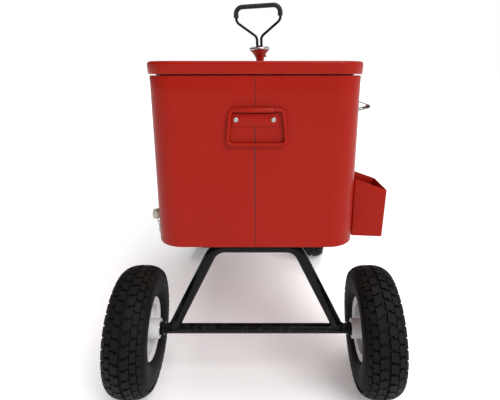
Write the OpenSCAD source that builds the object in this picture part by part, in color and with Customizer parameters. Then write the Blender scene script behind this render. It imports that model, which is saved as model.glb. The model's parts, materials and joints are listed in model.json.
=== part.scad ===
// Four-wheel patio cooler wagon: insulated steel box with a hinged lid on a steered
// running gear with air tyres, a drop-forward tongue, a bottle opener and a cap bin.
// The origin is on the ground under the middle of the overall length and width.
// +Y points to the tongue, +X to the opener side and +Z up.

/* [Box] */
// Width of the box at its top edge
body_w = 434; // [400:1:460]
// Length of the box at its top edge
body_len = 800; // [740:1:860]
// Height of the underside of the box above the ground
body_z = 331; // [325:1:340]
// Height of the box without its lid
body_h = 347.5; // [320:0.5:380]
// Inward lean of the long walls, in degrees
side_lean = 2.26; // [0.5:0.01:3]
// Inward lean of the end walls, in degrees
end_lean = 1.15; // [0.5:0.01:3]
// Radius of the upright corners
corner_r = 57; // [50:1:65]
// Thickness of the steel sheet
sheet = 1.2; // [0.8:0.1:1.6]
// Thickness of the foam in the walls
foam_t = 22; // [18:1:26]
// Thickness of the inner tub
liner_t = 2; // [1.5:0.1:3]

/* [Lid] */
// Height of the lid
lid_h = 26.3; // [24:0.1:32]
// Overhang of the lid past the box
lid_over = 4.5; // [3:0.1:6]
// Gap between the box and the lid, filled by the seal
lid_gap = 2.8; // [2:0.1:4]

/* [Running gear] */
// Outside diameter of a tyre
tyre_d = 260; // [250:1:266]
// Width of a tyre
tyre_w = 88; // [80:1:92]
// Distance between the middles of the rear tyres
rear_track = 508; // [500:1:520]
// Distance between the middles of the front tyres
front_track = 410; // [400:1:420]
// Rear axle ahead of the rear end wall
rear_axle_in = 51.4; // [40:0.1:70]
// Distance from the rear axle to the kingpin
wheelbase = 702; // [690:1:715]
// Diameter of the frame tubes
tube_d = 23.6; // [18:0.2:26]
// Diameter of the axle tubes
beam_d = 20.6; // [20:0.2:21]
// Diameter of the axles
axle_d = 16; // [15:0.5:16]
// Angle that the front axle is turned at rest, in degrees
steer_rest = 10; // [0:1:15]

/* [Tongue] */
// Distance from the kingpin to the tongue's pin
tongue_ahead = 165; // [160:1:180]
// Backward lean of the parked tongue, in degrees
tongue_lean = 2.5; // [1:0.1:3]
// Sideways set of the tongue tube on its eye, in degrees
tongue_set = 2.2; // [0:0.1:3]
// Distance from the pin to the handle's socket
tongue_len = 645; // [600:1:700]
// Width of the handle loop between rod middles
loop_w = 180; // [150:1:190]
// Height of the handle loop above the socket cap
loop_h = 174; // [165:1:190]

/* [End handles] */
// Height of an end handle's pivot above the ground
bail_z = 612; // [560:1:640]
// Diameter of the handle rod
bail_d = 7.2; // [6:0.1:8]

/* [Hidden] */

$fn = 64;
paint = "#a92a20";
black = "#1c1c20";
steel = "silver";

axle_z = tyre_d / 2;
body_top = body_z + body_h;
lid_z = body_top + lid_gap;
lid_top = lid_z + lid_h;
pan_t = 2;
flange_t = 2;
floor_z = body_z + pan_t + 24;
// Foremost point of the running gear ahead of the rear end wall
front_reach = rear_axle_in + wheelbase + 178;
mid_y = (front_reach + rear_axle_in - tyre_d / 2) / 2;
body_y = body_len / 2 - mid_y;
rear_y = rear_axle_in - mid_y;
king_y = rear_y + wheelbase;
run_fit = 0.05;
// Room left round the foam
foam_fit = 0.1;

// Hub and axle
hub_in = 47;
hub_out = 24;
hub_r = 20;
spacer_w = 10;
tube_r = tube_d / 2;
beam_r = beam_d / 2;
rear_tube_half = rear_track / 2 - hub_in - spacer_w;
front_tube_half = front_track / 2 - hub_in - spacer_w;
bearing_r = 17.5;
bearing_w = 11;

// Deck and turntable
rail_h = 5.8;
rail_w = 28;
rail_x = 50;
rail_z = body_z - rail_h;
rear_bar_z = rail_z - tube_r;
plate_t = 5;
plate_r = 75;
washer_t = 2;
steer_gap = 0.2;
lower_plate_z = rail_z - 2 * plate_t - washer_t - steer_gap;
front_bar_z = lower_plate_z - tube_r;
king_r = 8;
sleeve_h = 2 * tube_r + 3;
leg_bend = 38;

// Drain
drain_y = 68 - mid_y;
drain_z = 381;
drain_r = 8;
spout_r = 12;

// Cap bin and opener
bin_y = 127.5 - mid_y;
bin_z = body_z - 2;
bin_len = 105;
bin_back = 5;
opener_z = 611;

// End handles
strap_t = 1.5;
strap_w = 96;
strap_roll_w = 74;
strap_low = 579.5;
strap_high = 606.3;
rivet_x = 37;
rivet_z = 592.5;
bail_shift = 4;
bail_r = bail_d / 2;
bail_off = strap_t + bail_r + 2 * run_fit;

// Lid hinges
hinge_x = body_w / 2 + lid_over + 5;
hinge_z = body_top + lid_gap / 2;
hinge_ys = [-230, 230];
knuckle_r = 4;
hinge_pin_r = 2;
leaf_t = 1.5;
leaf_w = 40;

// Tongue
pin_z = axle_z + 1;
pin_r = 6;
tongue_r = 14;
eye_r = 15.5;
eye_half = 16.5;
lug_in = 17;
lug_t = 6;
rod_r = 5.2;
grip_r = 10.5;
flare_h = 45;
flare_r = 39;

// ---- shapes shared by several pieces ----

function half_w(z) = body_w / 2 - tan(side_lean) * (body_top - z);
function half_l(z) = body_len / 2 - tan(end_lean) * (body_top - z);

// Outline of a rectangle with round corners, at height z
function round_ring(hw, hl, r, z) = [
    for (quarter = [0:3], step = [0:8])
    let (
        a = 90 * quarter + 90 * step / 8,
        sx = (quarter == 0 || quarter == 3) ? 1 : -1,
        sy = quarter < 2 ? 1 : -1
    )
    [sx * (hw - r) + r * cos(a), sy * (hl - r) + r * sin(a), z]];

// Solid of the leaning box between two heights, set in from its outer face
module box_solid(inset, low, high) {
    a = round_ring(half_w(low) - inset, half_l(low) - inset, corner_r - inset, low);
    b = round_ring(half_w(high) - inset, half_l(high) - inset, corner_r - inset, high);
    n = len(a);
    translate([0, body_y, 0])
        polyhedron(
            points = concat(a, b),
            faces = concat(
                [[for (i = [0:n - 1]) i], [for (i = [n - 1:-1:0]) n + i]],
                [for (i = [0:n - 1]) [i, n + i, n + (i + 1) % n, (i + 1) % n]]));
}

// Upright block with round corners, set in from the lid's outer face
module lid_block(inset, low, high) {
    r = corner_r + lid_over - inset;
    translate([0, body_y, low])
        linear_extrude(high - low)
            hull()
                for (sx = [-1, 1], sy = [-1, 1])
                    translate([
                        sx * (body_w / 2 + lid_over - inset - r),
                        sy * (body_len / 2 + lid_over - inset - r)])
                        circle(r);
}

// Frame on a long wall: +X out of the wall, +Z up the wall
module on_wall(side, y, z) {
    mirror([side < 0 ? 1 : 0, 0, 0])
        translate([half_w(z), y, z])
            rotate([0, side_lean, 0])
                children();
}

// Frame on an end wall: -Y out of the wall
module on_end(side, z) {
    translate([0, body_y + side * half_l(z), 0])
        mirror([0, side < 0 ? 0 : 1, 0])
            children();
}

// Frame of the steered gear: +Y forward along the drawbar, origin on the ground
module steered() {
    translate([0, king_y, 0])
        rotate([0, 0, -steer_rest])
            children();
}

// Frame of the tongue: origin on its pin, +Z up the tube
module on_tongue(set = tongue_set) {
    steered()
        translate([0, tongue_ahead, pin_z])
            rotate([tongue_lean, 0, 0])
                rotate([0, -set, 0])
                    children();
}

module rod_x(r, x0, x1) {
    translate([x0, 0, 0])
        rotate([0, 90, 0])
            cylinder(h = x1 - x0, r = r);
}

module rod_y(r, y0, y1) {
    translate([0, y0, 0])
        rotate([-90, 0, 0])
            cylinder(h = y1 - y0, r = r);
}

function unit(v) = v / norm(v);
function turn_of(a, b, c) =
    let (u = unit(b - a), v = unit(c - b)) atan2(cross(u, v), u * v);

// Closed ring of round rod, bent in the XZ plane through its corner points
module rod_ring(points, bend, r) {
    n = len(points);
    function at(i) = points[(i + n) % n];
    function turn(i) = turn_of(at(i - 1), at(i), at(i + 1));
    function cut(i) = bend * tan(turn(i) / 2);
    rotate([90, 0, 0])
        for (i = [0:n - 1]) {
            u = unit(at(i + 1) - at(i));
            a = at(i) + u * cut(i);
            b = at(i + 1) - u * cut(i + 1);
            translate([a[0], a[1], 0])
                rotate([0, 90, atan2(u[1], u[0])])
                    cylinder(h = norm(b - a), r = r);
            back = unit(at(i) - at(i - 1));
            side = [-back[1], back[0]];
            centre = at(i) - back * cut(i) + side * bend;
            translate([centre[0], centre[1], 0])
                rotate([0, 0, atan2(-side[1], -side[0])])
                    rotate_extrude(angle = turn(i))
                        translate([bend, 0])
                            circle(r, $fn = 32);
        }
}

// Line through corner points in the XZ plane, with an arc at each inner corner
function bent_line(points, bend) = [
    for (i = [0:len(points) - 1])
    let (
        inner = i > 0 && i < len(points) - 1,
        turn = inner ? turn_of(points[i - 1], points[i], points[i + 1]) : 0,
        way = turn > 0 ? 1 : -1,
        u = inner ? unit(points[i] - points[i - 1]) : [0, 0],
        side = [-u[1], u[0]] * way,
        centre = points[i] - u * bend * tan(abs(turn) / 2) + side * bend,
        start = atan2(-side[1], -side[0]),
        steps = inner ? 8 : 0
    )
    for (k = [0:steps])
    let (a = start + (steps > 0 ? turn * k / steps : 0))
    inner ? centre + bend * [cos(a), sin(a)] : points[i]];

// Round rod swept along a line in the XZ plane
module swept_rod(line, r, sides = 16) {
    n = len(line);
    function along(i) =
        (i > 0 ? unit(line[i] - line[i - 1]) : [0, 0]) +
        (i < n - 1 ? unit(line[i + 1] - line[i]) : [0, 0]);
    points = [
        for (i = [0:n - 1], k = [0:sides - 1])
        let (t = unit(along(i)), a = 360 * k / sides)
        [line[i][0] - t[1] * r * cos(a), -r * sin(a), line[i][1] + t[0] * r * cos(a)]];
    last = (n - 1) * sides;
    polyhedron(
        points = points,
        faces = concat(
            [[for (k = [0:sides - 1]) k], [for (k = [sides - 1:-1:0]) last + k]],
            [for (i = [0:n - 2], k = [0:sides - 1])
                let (a = i * sides + k, b = i * sides + (k + 1) % sides)
                [a, a + sides, b + sides, b]]));
}

// ---- box ----

module wall_screw_places() {
    on_wall(1, bin_y, bin_z)
        for (y = [-32, 32], z = [50, 100])
            translate([1.5, y, z])
                children();
    on_wall(1, bin_y, opener_z)
        for (z = [-26, 26])
            translate([3, 0, z])
                children();
    for (y = hinge_ys, dy = [-13, 13])
        on_wall(-1, body_y + y + dy, body_top - 17)
            translate([leaf_t, 0, 0])
                children();
}

module screw_shank() {
    rod_x(2, -7, 0);
}

module rivet_places() {
    for (side = [-1, 1])
        on_end(side, bail_z)
            for (x = [-rivet_x, rivet_x])
                translate([x, -strap_t, rivet_z])
                    children();
}

module rivet_shank() {
    rod_y(2.4, 0, 6);
}

module drain_bore() {
    on_wall(-1, drain_y, drain_z)
        rod_x(drain_r, -40, 10);
}

module shell_half(side) {
    color(paint)
        difference() {
            box_solid(0, body_z, body_top);
            box_solid(sheet, body_z - 1, body_top + 1);
            translate([side < 0 ? -0.2 : -body_w, body_y - body_len, 0])
                cube([body_w, 2 * body_len, body_top + 1]);
            drain_bore();
            wall_screw_places() screw_shank();
            rivet_places() rivet_shank();
        }
}

module bottom_pan() {
    color(paint)
        difference() {
            box_solid(sheet, body_z, body_z + pan_t);
            deck_bolt_places()
                cylinder(h = 20, r = 3);
        }
}

module body_foam() {
    color("khaki")
        difference() {
            box_solid(sheet + foam_fit, body_z + pan_t, body_top - flange_t);
            box_solid(sheet + foam_t - foam_fit, floor_z, body_top + 1);
            drain_bore();
            wall_screw_places() screw_shank();
            rivet_places() rivet_shank();
        }
}

module inner_liner() {
    color("whitesmoke")
        difference() {
            union() {
                box_solid(sheet + foam_t, floor_z, body_top - flange_t);
                box_solid(sheet, body_top - flange_t, body_top);
            }
            box_solid(sheet + foam_t + liner_t, floor_z + liner_t, body_top + 1);
            drain_bore();
        }
}

module rim_gasket() {
    color(black)
        difference() {
            lid_block(lid_over + 13, body_top, lid_z - 0.3);
            lid_block(lid_over + 24, body_top - 1, lid_z + 1);
        }
}

// ---- drain ----

module drain_spout() {
    color("ivory")
        on_wall(-1, drain_y, drain_z)
            difference() {
                union() {
                    rod_x(drain_r, -(sheet + foam_t + liner_t), 10);
                    rod_x(spout_r, 0, 2.5);
                }
                rod_x(drain_r - 2, -40, 20);
            }
}

module drain_cap() {
    color("ivory")
        on_wall(-1, drain_y, drain_z)
            difference() {
                union() {
                    translate([4.8, 0, 0])
                        rotate([0, 90, 0])
                            cylinder(h = 7, r = 12, $fn = 6);
                    rod_x(9.6, 3, 15.6);
                }
                rod_x(drain_r + run_fit, 0, 10.5);
            }
}

module chain_link(length, width, wire) {
    half = width / 2 - wire;
    long = length / 2 - wire;
    rod_ring([[-half, -long], [half, -long], [half, long], [-half, long]], half * 0.9, wire);
}

link_wire = 0.75;
link_len = 10;
link_step = 7.4;
first_link = 19.6;
keep_ring_z = 3;
chain_x = 4;
eye_drop = 39.5;

module drain_chain() {
    color(steel)
        on_wall(-1, drain_y, drain_z) {
            translate([chain_x, 0, -keep_ring_z])
                rotate([0, 0, 90])
                    rod_ring([[-14, -14], [14, -14], [14, 14], [-14, 14]], 13.3, 0.7);
            for (i = [0:2])
                translate([chain_x - 0.4 * i, 0, -first_link - link_step * i])
                    rotate([0, 0, i % 2 == 0 ? 0 : 90])
                        chain_link(link_len, 5.6, link_wire);
        }
}

module chain_anchor() {
    color(steel)
        on_wall(-1, drain_y, drain_z) {
            translate([0, 0, -eye_drop - 4])
                rod_x(3.6, 0, 1.4);
            translate([0, 0, -eye_drop - 2.6])
                rod_x(1, 0, chain_x - 0.8);
            translate([chain_x - 0.8, 0, -eye_drop])
                rotate([0, 0, 90])
                    rod_ring([[-2.6, -2.6], [2.6, -2.6], [2.6, 2.6], [-2.6, 2.6]], 2.3, 0.8);
        }
}

// ---- opener and bin ----

module bottle_opener() {
    reach = 39;
    strap_w = 34;
    strap_t = 2.4;
    color(steel)
        on_wall(1, bin_y, opener_z)
            difference() {
                union() {
                    translate([0, -20, -34])
                        cube([3, 40, 68]);
                    difference() {
                        rotate([90, 0, 0])
                            linear_extrude(strap_w, center = true)
                                difference() {
                                    polygon([[0, -15], [reach, -3.5], [reach, 3.5], [0, 15]]);
                                    polygon([[-1, -15 + strap_t], [reach - strap_t, -1.6],
                                             [reach - strap_t, 1.6], [-1, 15 - strap_t]]);
                                }
                        translate([4, -13, -20])
                            cube([25, 26, 20]);
                    }
                    translate([2, -7, -3])
                        cube([9, 14, 3]);
                }
                for (z = [-26, 26])
                    translate([0, 0, z])
                        rod_x(2, -1, 4);
            }
}

module bin_hanger() {
    color(paint)
        on_wall(1, bin_y, bin_z)
            difference() {
                union() {
                    translate([0, -37, 42])
                        cube([1.5, 74, 68]);
                    for (side = [0, 1])
                        mirror([0, side, 0]) {
                            translate([0, 25.5, 42])
                                cube([4.7, 1.2, 68]);
                            translate([3.7, 18.6, 42])
                                cube([1, 8, 68]);
                        }
                    translate([0, -26, 42])
                        cube([4.7, 52, 1.2]);
                }
                for (y = [-32, 32], z = [50, 100])
                    translate([0, y, z])
                        rod_x(2, -1, 4);
            }
}

module bin_profile(inset, rise) {
    linear_extrude(bin_len - 2 * inset, center = true)
        polygon([
            [bin_back + inset, inset],
            [bin_back + 68 - inset, inset],
            [bin_back + 73 - inset + rise * 5 / 104, 104 + rise],
            [bin_back + inset, 127 + rise]]);
}

module catch_bin() {
    color(paint)
        on_wall(1, bin_y, bin_z) {
            rotate([90, 0, 0])
                difference() {
                    bin_profile(0, 0);
                    bin_profile(1.3, 30);
                }
            translate([2, -24, 44])
                cube([1.4, 48, 55]);
            translate([3.4, -18, 44])
                cube([bin_back - 3.4, 36, 55]);
        }
}

module wall_screws() {
    color(steel)
        wall_screw_places() {
            rod_x(3.8, 0, 2);
            screw_shank();
        }
}

// ---- lid ----

module lid_shell() {
    color(paint)
        difference() {
            lid_block(0, lid_z, lid_top);
            lid_block(sheet, lid_z - 1, lid_top - sheet);
            lid_screw_places() screw_shank();
        }
}

module lid_foam() {
    color("khaki")
        difference() {
            lid_block(sheet, lid_z + 2, lid_top - sheet);
            lid_screw_places() screw_shank();
        }
}

module lid_liner() {
    color("whitesmoke") {
        lid_block(sheet, lid_z, lid_z + 2);
        lid_block(lid_over + sheet + foam_t + liner_t + 10, lid_z - 13, lid_z);
    }
}

module hinge_frame(y) {
    translate([-hinge_x, body_y + y, hinge_z])
        children();
}

module knuckles(low, high) {
    rod_y(knuckle_r, low, high);
}

module hinge_body_leaves() {
    color(steel)
        for (y = hinge_ys) {
            difference() {
                union() {
                    on_wall(-1, body_y + y, body_top - 4)
                        translate([0, -leaf_w / 2, -25])
                            cube([leaf_t, leaf_w, 25]);
                    hinge_frame(y)
                        for (side = [0, 1])
                            mirror([0, side, 0]) {
                                knuckles(7.2, leaf_w / 2);
                                translate([0, 7.2, -knuckle_r - 1.6])
                                    cube([9.4, leaf_w / 2 - 7.2, 1.8]);
                            }
                }
                hinge_frame(y) rod_y(hinge_pin_r, -30, 30);
                wall_screw_places() screw_shank();
                box_solid(0, body_z, body_top);
            }
        }
}

module hinge_lid_leaves() {
    color(steel)
        for (y = hinge_ys)
            difference() {
                hinge_frame(y) {
                    knuckles(-7, 7);
                    translate([5 - leaf_t, -leaf_w / 2, knuckle_r])
                        cube([leaf_t, leaf_w, 20]);
                    translate([0, -7, knuckle_r - 1.6])
                        cube([5, 14, 1.6]);
                }
                hinge_frame(y) rod_y(hinge_pin_r + run_fit, -30, 30);
                lid_screw_places() screw_shank();
            }
}

module hinge_pins() {
    color("gray")
        for (y = hinge_ys)
            hinge_frame(y)
                rod_y(hinge_pin_r, -leaf_w / 2 - 1, leaf_w / 2 + 1);
}

module lid_screw_places() {
    for (y = hinge_ys, dy = [-13, 13])
        hinge_frame(y + dy)
            translate([5 - leaf_t, 0, 15])
                mirror([1, 0, 0])
                    children();
}

module lid_screws() {
    color(steel)
        lid_screw_places() {
            rod_x(3.8, 0, 2);
            screw_shank();
        }
}

// ---- end handles ----

module handle_straps() {
    roll_in = bail_r + 2 * run_fit;
    color(paint)
        for (side = [-1, 1])
            on_end(side, bail_z)
                difference() {
                    union() {
                        translate([-strap_w / 2, -strap_t, strap_low])
                            cube([strap_w, strap_t, strap_high - strap_low]);
                        translate([-strap_roll_w / 2, -strap_t, strap_high - 1])
                            cube([strap_roll_w, strap_t, bail_z - strap_high + 1]);
                        translate([0, -bail_off, bail_z])
                            rotate([0, 90, 0])
                                rotate([0, 0, -30])
                                    rotate_extrude_ring(roll_in, roll_in + strap_t, 230);
                    }
                    for (x = [-rivet_x, rivet_x])
                        translate([x, -strap_t, rivet_z])
                            rod_y(2.4, -1, 4);
                }
}

// Part of a ring about Z, as long as the strap's rolled edge
module rotate_extrude_ring(inner, outer, angle) {
    rotate_extrude(angle = angle)
        translate([inner, -strap_roll_w / 2])
            square([outer - inner, strap_roll_w]);
}

module handle_rivets() {
    color(steel)
        rivet_places()
            difference() {
                union() {
                    rod_y(5, -1.6, 0);
                    rivet_shank();
                }
                rod_y(1.8, -3, 4);
            }
}

module bail(side) {
    top = 56 - bail_r;
    low = 61.5 - bail_r;
    drop = 68;
    straight = top - 12;
    color(paint)
        on_end(side, bail_z)
            translate([bail_shift, -bail_off, bail_z]) {
                rod_x(bail_r + run_fit, -straight - 1, straight + 1);
                swept_rod(
                    bent_line(
                        [[-straight, 0], [-top, 0], [-low, -drop], [low, -drop], [top, 0],
                            [straight, 0]],
                        10),
                    bail_r);
            }
}

// ---- deck and rear gear ----

module deck_bolt_places() {
    for (x = [-rail_x, rail_x], y = [-250, 200])
        translate([x, body_y + y, rail_z])
            children();
}

module deck_rails() {
    color(black)
        difference() {
            for (x = [-rail_x, rail_x])
                translate([x, body_y, rail_z])
                    rotate([90, 0, 0])
                        linear_extrude(body_len - 60, center = true)
                            difference() {
                                translate([-rail_w / 2, 0]) square([rail_w, rail_h]);
                                translate([-rail_w / 2 + 1.6, 1.6])
                                    square([rail_w - 3.2, rail_h - 3.2]);
                            }
            deck_bolt_places()
                translate([0, 0, -1])
                    cylinder(h = 20, r = 3);
        }
}

module deck_bolts() {
    color(steel)
        deck_bolt_places() {
            translate([0, 0, -4])
                cylinder(h = 4, r = 6.5, $fn = 6);
            cylinder(h = rail_h + pan_t, r = 3);
        }
}

// Trapezoid of bent tube that carries an axle tube
module leg_frame(bar_z, bar_half, foot_half) {
    difference() {
        swept_rod(
            bent_line(
                [[-foot_half, axle_z], [-bar_half, bar_z], [bar_half, bar_z],
                    [foot_half, axle_z]],
                leg_bend),
            tube_r);
        translate([0, 0, axle_z])
            rod_x(beam_r, -foot_half - 30, foot_half + 30);
    }
}

module axle_tube(half) {
    translate([0, 0, axle_z])
        difference() {
            rod_x(beam_r, -half, half);
            rod_x(axle_d / 2, -half - 1, half + 1);
        }
}

axle_over = 35;

module axle_rod(track) {
    tip = track / 2 + axle_over;
    translate([0, 0, axle_z])
        difference() {
            rod_x(axle_d / 2, -tip, tip);
            for (x = [-tip + 5, tip - 5])
                translate([x, 0, -20])
                    cylinder(h = 40, r = 1.6);
        }
}

// Inner spacer, outer washer and split pin at both ends of an axle
module axle_hardware(track) {
    for (side = [0, 1])
        mirror([side, 0, 0])
            translate([track / 2, 0, axle_z]) {
                difference() {
                    union() {
                        rod_x(13, -hub_in - spacer_w + 0.2, -hub_in - 0.5);
                        rod_x(14, hub_out + 0.5, hub_out + 3);
                    }
                    rod_x(axle_d / 2, -70, 60);
                }
                translate([axle_over - 5, 0, -12])
                    cylinder(h = 24, r = 1.6);
            }
}

module rear_frame() {
    color(black)
        translate([0, rear_y, 0])
            leg_frame(rear_bar_z, 88, 180);
}

module rear_axle_tube() {
    color(black)
        translate([0, rear_y, 0])
            axle_tube(rear_tube_half);
}

module rear_axle() {
    color(steel)
        translate([0, rear_y, 0])
            axle_rod(rear_track);
}

module rear_axle_hardware() {
    color(black)
        translate([0, rear_y, 0])
            axle_hardware(rear_track);
}

// ---- turntable and steered gear ----

module turntable_plate() {
    color(black)
        translate([0, king_y, rail_z - plate_t])
            difference() {
                cylinder(h = plate_t, r = plate_r);
                translate([0, 0, -1]) cylinder(h = plate_t + 2, r = king_r);
            }
}

module thrust_washer() {
    color("dimgray")
        translate([0, king_y, rail_z - plate_t - washer_t])
            difference() {
                cylinder(h = washer_t, r = 45);
                translate([0, 0, -1]) cylinder(h = washer_t + 2, r = king_r);
            }
}

nut_z = lower_plate_z - sleeve_h - 10.5;

module kingpin() {
    color(steel)
        translate([0, king_y, 0]) {
            translate([0, 0, rail_z])
                cylinder(h = rail_h - 0.5, r = 13, $fn = 6);
            translate([0, 0, nut_z - 3])
                cylinder(h = rail_z - nut_z + 3, r = king_r);
        }
}

module kingpin_nut() {
    color(steel)
        translate([0, king_y, nut_z])
            difference() {
                cylinder(h = 10, r = 13, $fn = 6);
                translate([0, 0, -1]) cylinder(h = 12, r = king_r);
            }
}

module king_bore() {
    translate([0, 0, nut_z - 5])
        cylinder(h = 60, r = king_r + run_fit);
}

module steering_plate() {
    color(black)
        steered()
            difference() {
                translate([0, 0, lower_plate_z])
                    cylinder(h = plate_t, r = plate_r);
                king_bore();
            }
}

module front_frame() {
    color(black)
        steered()
            difference() {
                union() {
                    leg_frame(front_bar_z, 65, 128);
                    translate([0, 0, lower_plate_z - sleeve_h])
                        cylinder(h = sleeve_h, r = 16);
                }
                king_bore();
            }
}

module front_axle_tube() {
    color(black)
        steered()
            axle_tube(front_tube_half);
}

module front_axle() {
    color(steel)
        steered()
            axle_rod(front_track);
}

module front_axle_hardware() {
    color(black)
        steered()
            axle_hardware(front_track);
}

fork_back = tongue_ahead - 22;

module drawbar() {
    bar = 24;
    wall = 2.5;
    color(black)
        steered()
            difference() {
                union() {
                    translate([0, 0, axle_z])
                        rotate([-90, 0, 0])
                            linear_extrude(fork_back)
                                difference() {
                                    square(bar, center = true);
                                    square(bar - 2 * wall, center = true);
                                }
                    translate([-lug_in - lug_t, fork_back, axle_z - 17])
                        cube([2 * (lug_in + lug_t), 5, 34]);
                    translate([-10, fork_back, axle_z])
                        cube([20, 5, 42]);
                    for (side = [0, 1])
                        mirror([side, 0, 0]) {
                            translate([lug_in, fork_back, axle_z - 17])
                                cube([lug_t, tongue_ahead - fork_back, 34]);
                            translate([0, tongue_ahead, pin_z])
                                rod_x(13, lug_in, lug_in + lug_t);
                        }
                }
                translate([0, 0, axle_z])
                    rod_x(beam_r, -40, 40);
                translate([-30, -30, axle_z - 30])
                    cube([60, 30, 60]);
                translate([0, tongue_ahead, pin_z])
                    rod_x(pin_r, -60, 60);
            }
}

module tongue_pin() {
    end = lug_in + lug_t;
    color(steel)
        steered()
            translate([0, tongue_ahead, pin_z]) {
                rod_x(pin_r, -end - 5, end);
                rod_x(9, end, end + 3.5);
                translate([-end - 3, 0, -10])
                    cylinder(h = 20, r = 1.2);
            }
}

// ---- tongue ----

module tongue_tube() {
    color(paint)
        difference() {
            union() {
                on_tongue(0) rod_x(eye_r, -eye_half, eye_half);
                on_tongue()
                    cylinder(h = tongue_len - flare_h + 6, r = tongue_r);
            }
            on_tongue(0) rod_x(pin_r + run_fit, -40, 40);
            on_tongue()
                translate([0, 0, 15])
                    cylinder(h = tongue_len, r = tongue_r - 1.5);
        }
}

// Radius of the trumpet at a share of its height
function trumpet(t) = tongue_r + (flare_r - tongue_r) * pow(t, 1.9);

module tongue_flare() {
    steps = 14;
    outer = [for (i = [0:steps]) [trumpet(i / steps) + 1.2, flare_h * i / steps]];
    inner = [for (i = [steps:-1:0]) [trumpet(i / steps), flare_h * i / steps]];
    color(paint)
        difference() {
            on_tongue()
                translate([0, 0, tongue_len - flare_h])
                    rotate_extrude()
                        polygon(concat(outer, inner));
            screw_place() rod_x(2 + run_fit, 14, 26);
        }
}

module screw_place() {
    on_tongue()
        translate([0, 0, tongue_len - flare_h + 8])
            rotate([0, -25, 0])
                children();
}

module flare_cap() {
    color(steel)
        on_tongue()
            translate([0, 0, tongue_len])
                difference() {
                    union() {
                        cylinder(h = 9, r = 40);
                        translate([0, 0, 9]) cylinder(h = 4, r = 38.6);
                    }
                    for (x = [-8.6, 8.6])
                        translate([x, 0, -1]) cylinder(h = 20, r = rod_r);
                }
}

module tongue_screw() {
    color("saddlebrown")
        screw_place() {
            rod_x(2, 17.5, 27);
            rod_x(4, 27, 30.5);
        }
}

loop_bend = 27;
leg_x = 8.6;

module loop_rod() {
    half = loop_w / 2;
    swept_rod(
        bent_line(
            [[-leg_x, 0], [-leg_x, 52], [-half, 115], [-half, loop_h], [half, loop_h],
                [half, 115], [leg_x, 52], [leg_x, 0]],
            loop_bend),
        rod_r, 12);
}

module handle_loop() {
    color(black)
        on_tongue()
            translate([0, 0, tongue_len]) {
                loop_rod();
                translate([-leg_x, -3.5, 13])
                    cube([2 * leg_x, 7, 4]);
            }
}

module handle_grip() {
    half = loop_w / 2;
    low = 131;
    color(black)
        on_tongue()
            translate([0, 0, tongue_len])
                difference() {
                    swept_rod(
                        bent_line(
                            [[-half, low], [-half, loop_h], [half, loop_h], [half, low]],
                            loop_bend),
                        grip_r);
                    loop_rod();
                }
}

// ---- wheels ----

// Point on the tyre's section, which is a squarish oval
function oval(a, half, high, power) = [
    92 + high * sign(sin(a)) * pow(abs(sin(a)), power),
    half * sign(cos(a)) * pow(abs(cos(a)), power)];

module tyre_section() {
    steps = 48;
    bead_r = 51;
    bead_x = 20;
    bead_w = 7.9;
    difference() {
        union() {
            polygon([for (i = [0:steps - 1])
                oval(360 * i / steps, tyre_w / 2, tyre_d / 2 - 92, 0.75)]);
            for (side = [0, 1])
                mirror([0, side])
                    translate([bead_r, bead_x - 1]) square([12, bead_w + 2]);
        }
        polygon([for (i = [0:steps - 1])
            oval(360 * i / steps, tyre_w / 2 - 6, tyre_d / 2 - 99, 0.75)]);
        translate([40, -bead_x]) square([35, 2 * bead_x]);
        for (side = [0, 1])
            mirror([0, side])
                translate([40, bead_x + bead_w]) square([24.5, 20]);
    }
}

module rim_section() {
    for (side = [0, 1])
        mirror([0, side]) {
            translate([51, 28]) square([12.5, 2]);
            translate([49, 14]) square([2, 16]);
            translate([43, 12]) square([8, 2]);
        }
    translate([43, -14]) square([2, 28]);
    translate([19, -1.5]) square([25, 3]);
    difference() {
        translate([12, -hub_in]) square([hub_r - 12, hub_in + hub_out]);
        translate([0, -hub_in - 1]) square([bearing_r, bearing_w + 1]);
        translate([0, hub_out - bearing_w]) square([bearing_r, bearing_w + 1]);
    }
}

module bearing_section() {
    for (y = [-hub_in, hub_out - bearing_w])
        translate([axle_d / 2 + run_fit, y])
            square([bearing_r - axle_d / 2 - run_fit, bearing_w]);
}

// Turned section about an axle, with its +Y to the outside of the wheel
module wheel_turned() {
    rotate([0, 90, 0])
        rotate_extrude($fn = 96)
            children();
}

module wheel_place(front, side) {
    if (front)
        steered()
            mirror([side < 0 ? 1 : 0, 0, 0])
                translate([front_track / 2, 0, axle_z])
                    children();
    else
        translate([0, rear_y, 0])
            mirror([side < 0 ? 1 : 0, 0, 0])
                translate([rear_track / 2, 0, axle_z])
                    children();
}

module tyre(front, side) {
    color(black) wheel_place(front, side) wheel_turned() tyre_section();
}

module rim(front, side) {
    color("white") wheel_place(front, side) wheel_turned() rim_section();
}

module bearings(front, side) {
    color(steel) wheel_place(front, side) wheel_turned() bearing_section();
}

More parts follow.
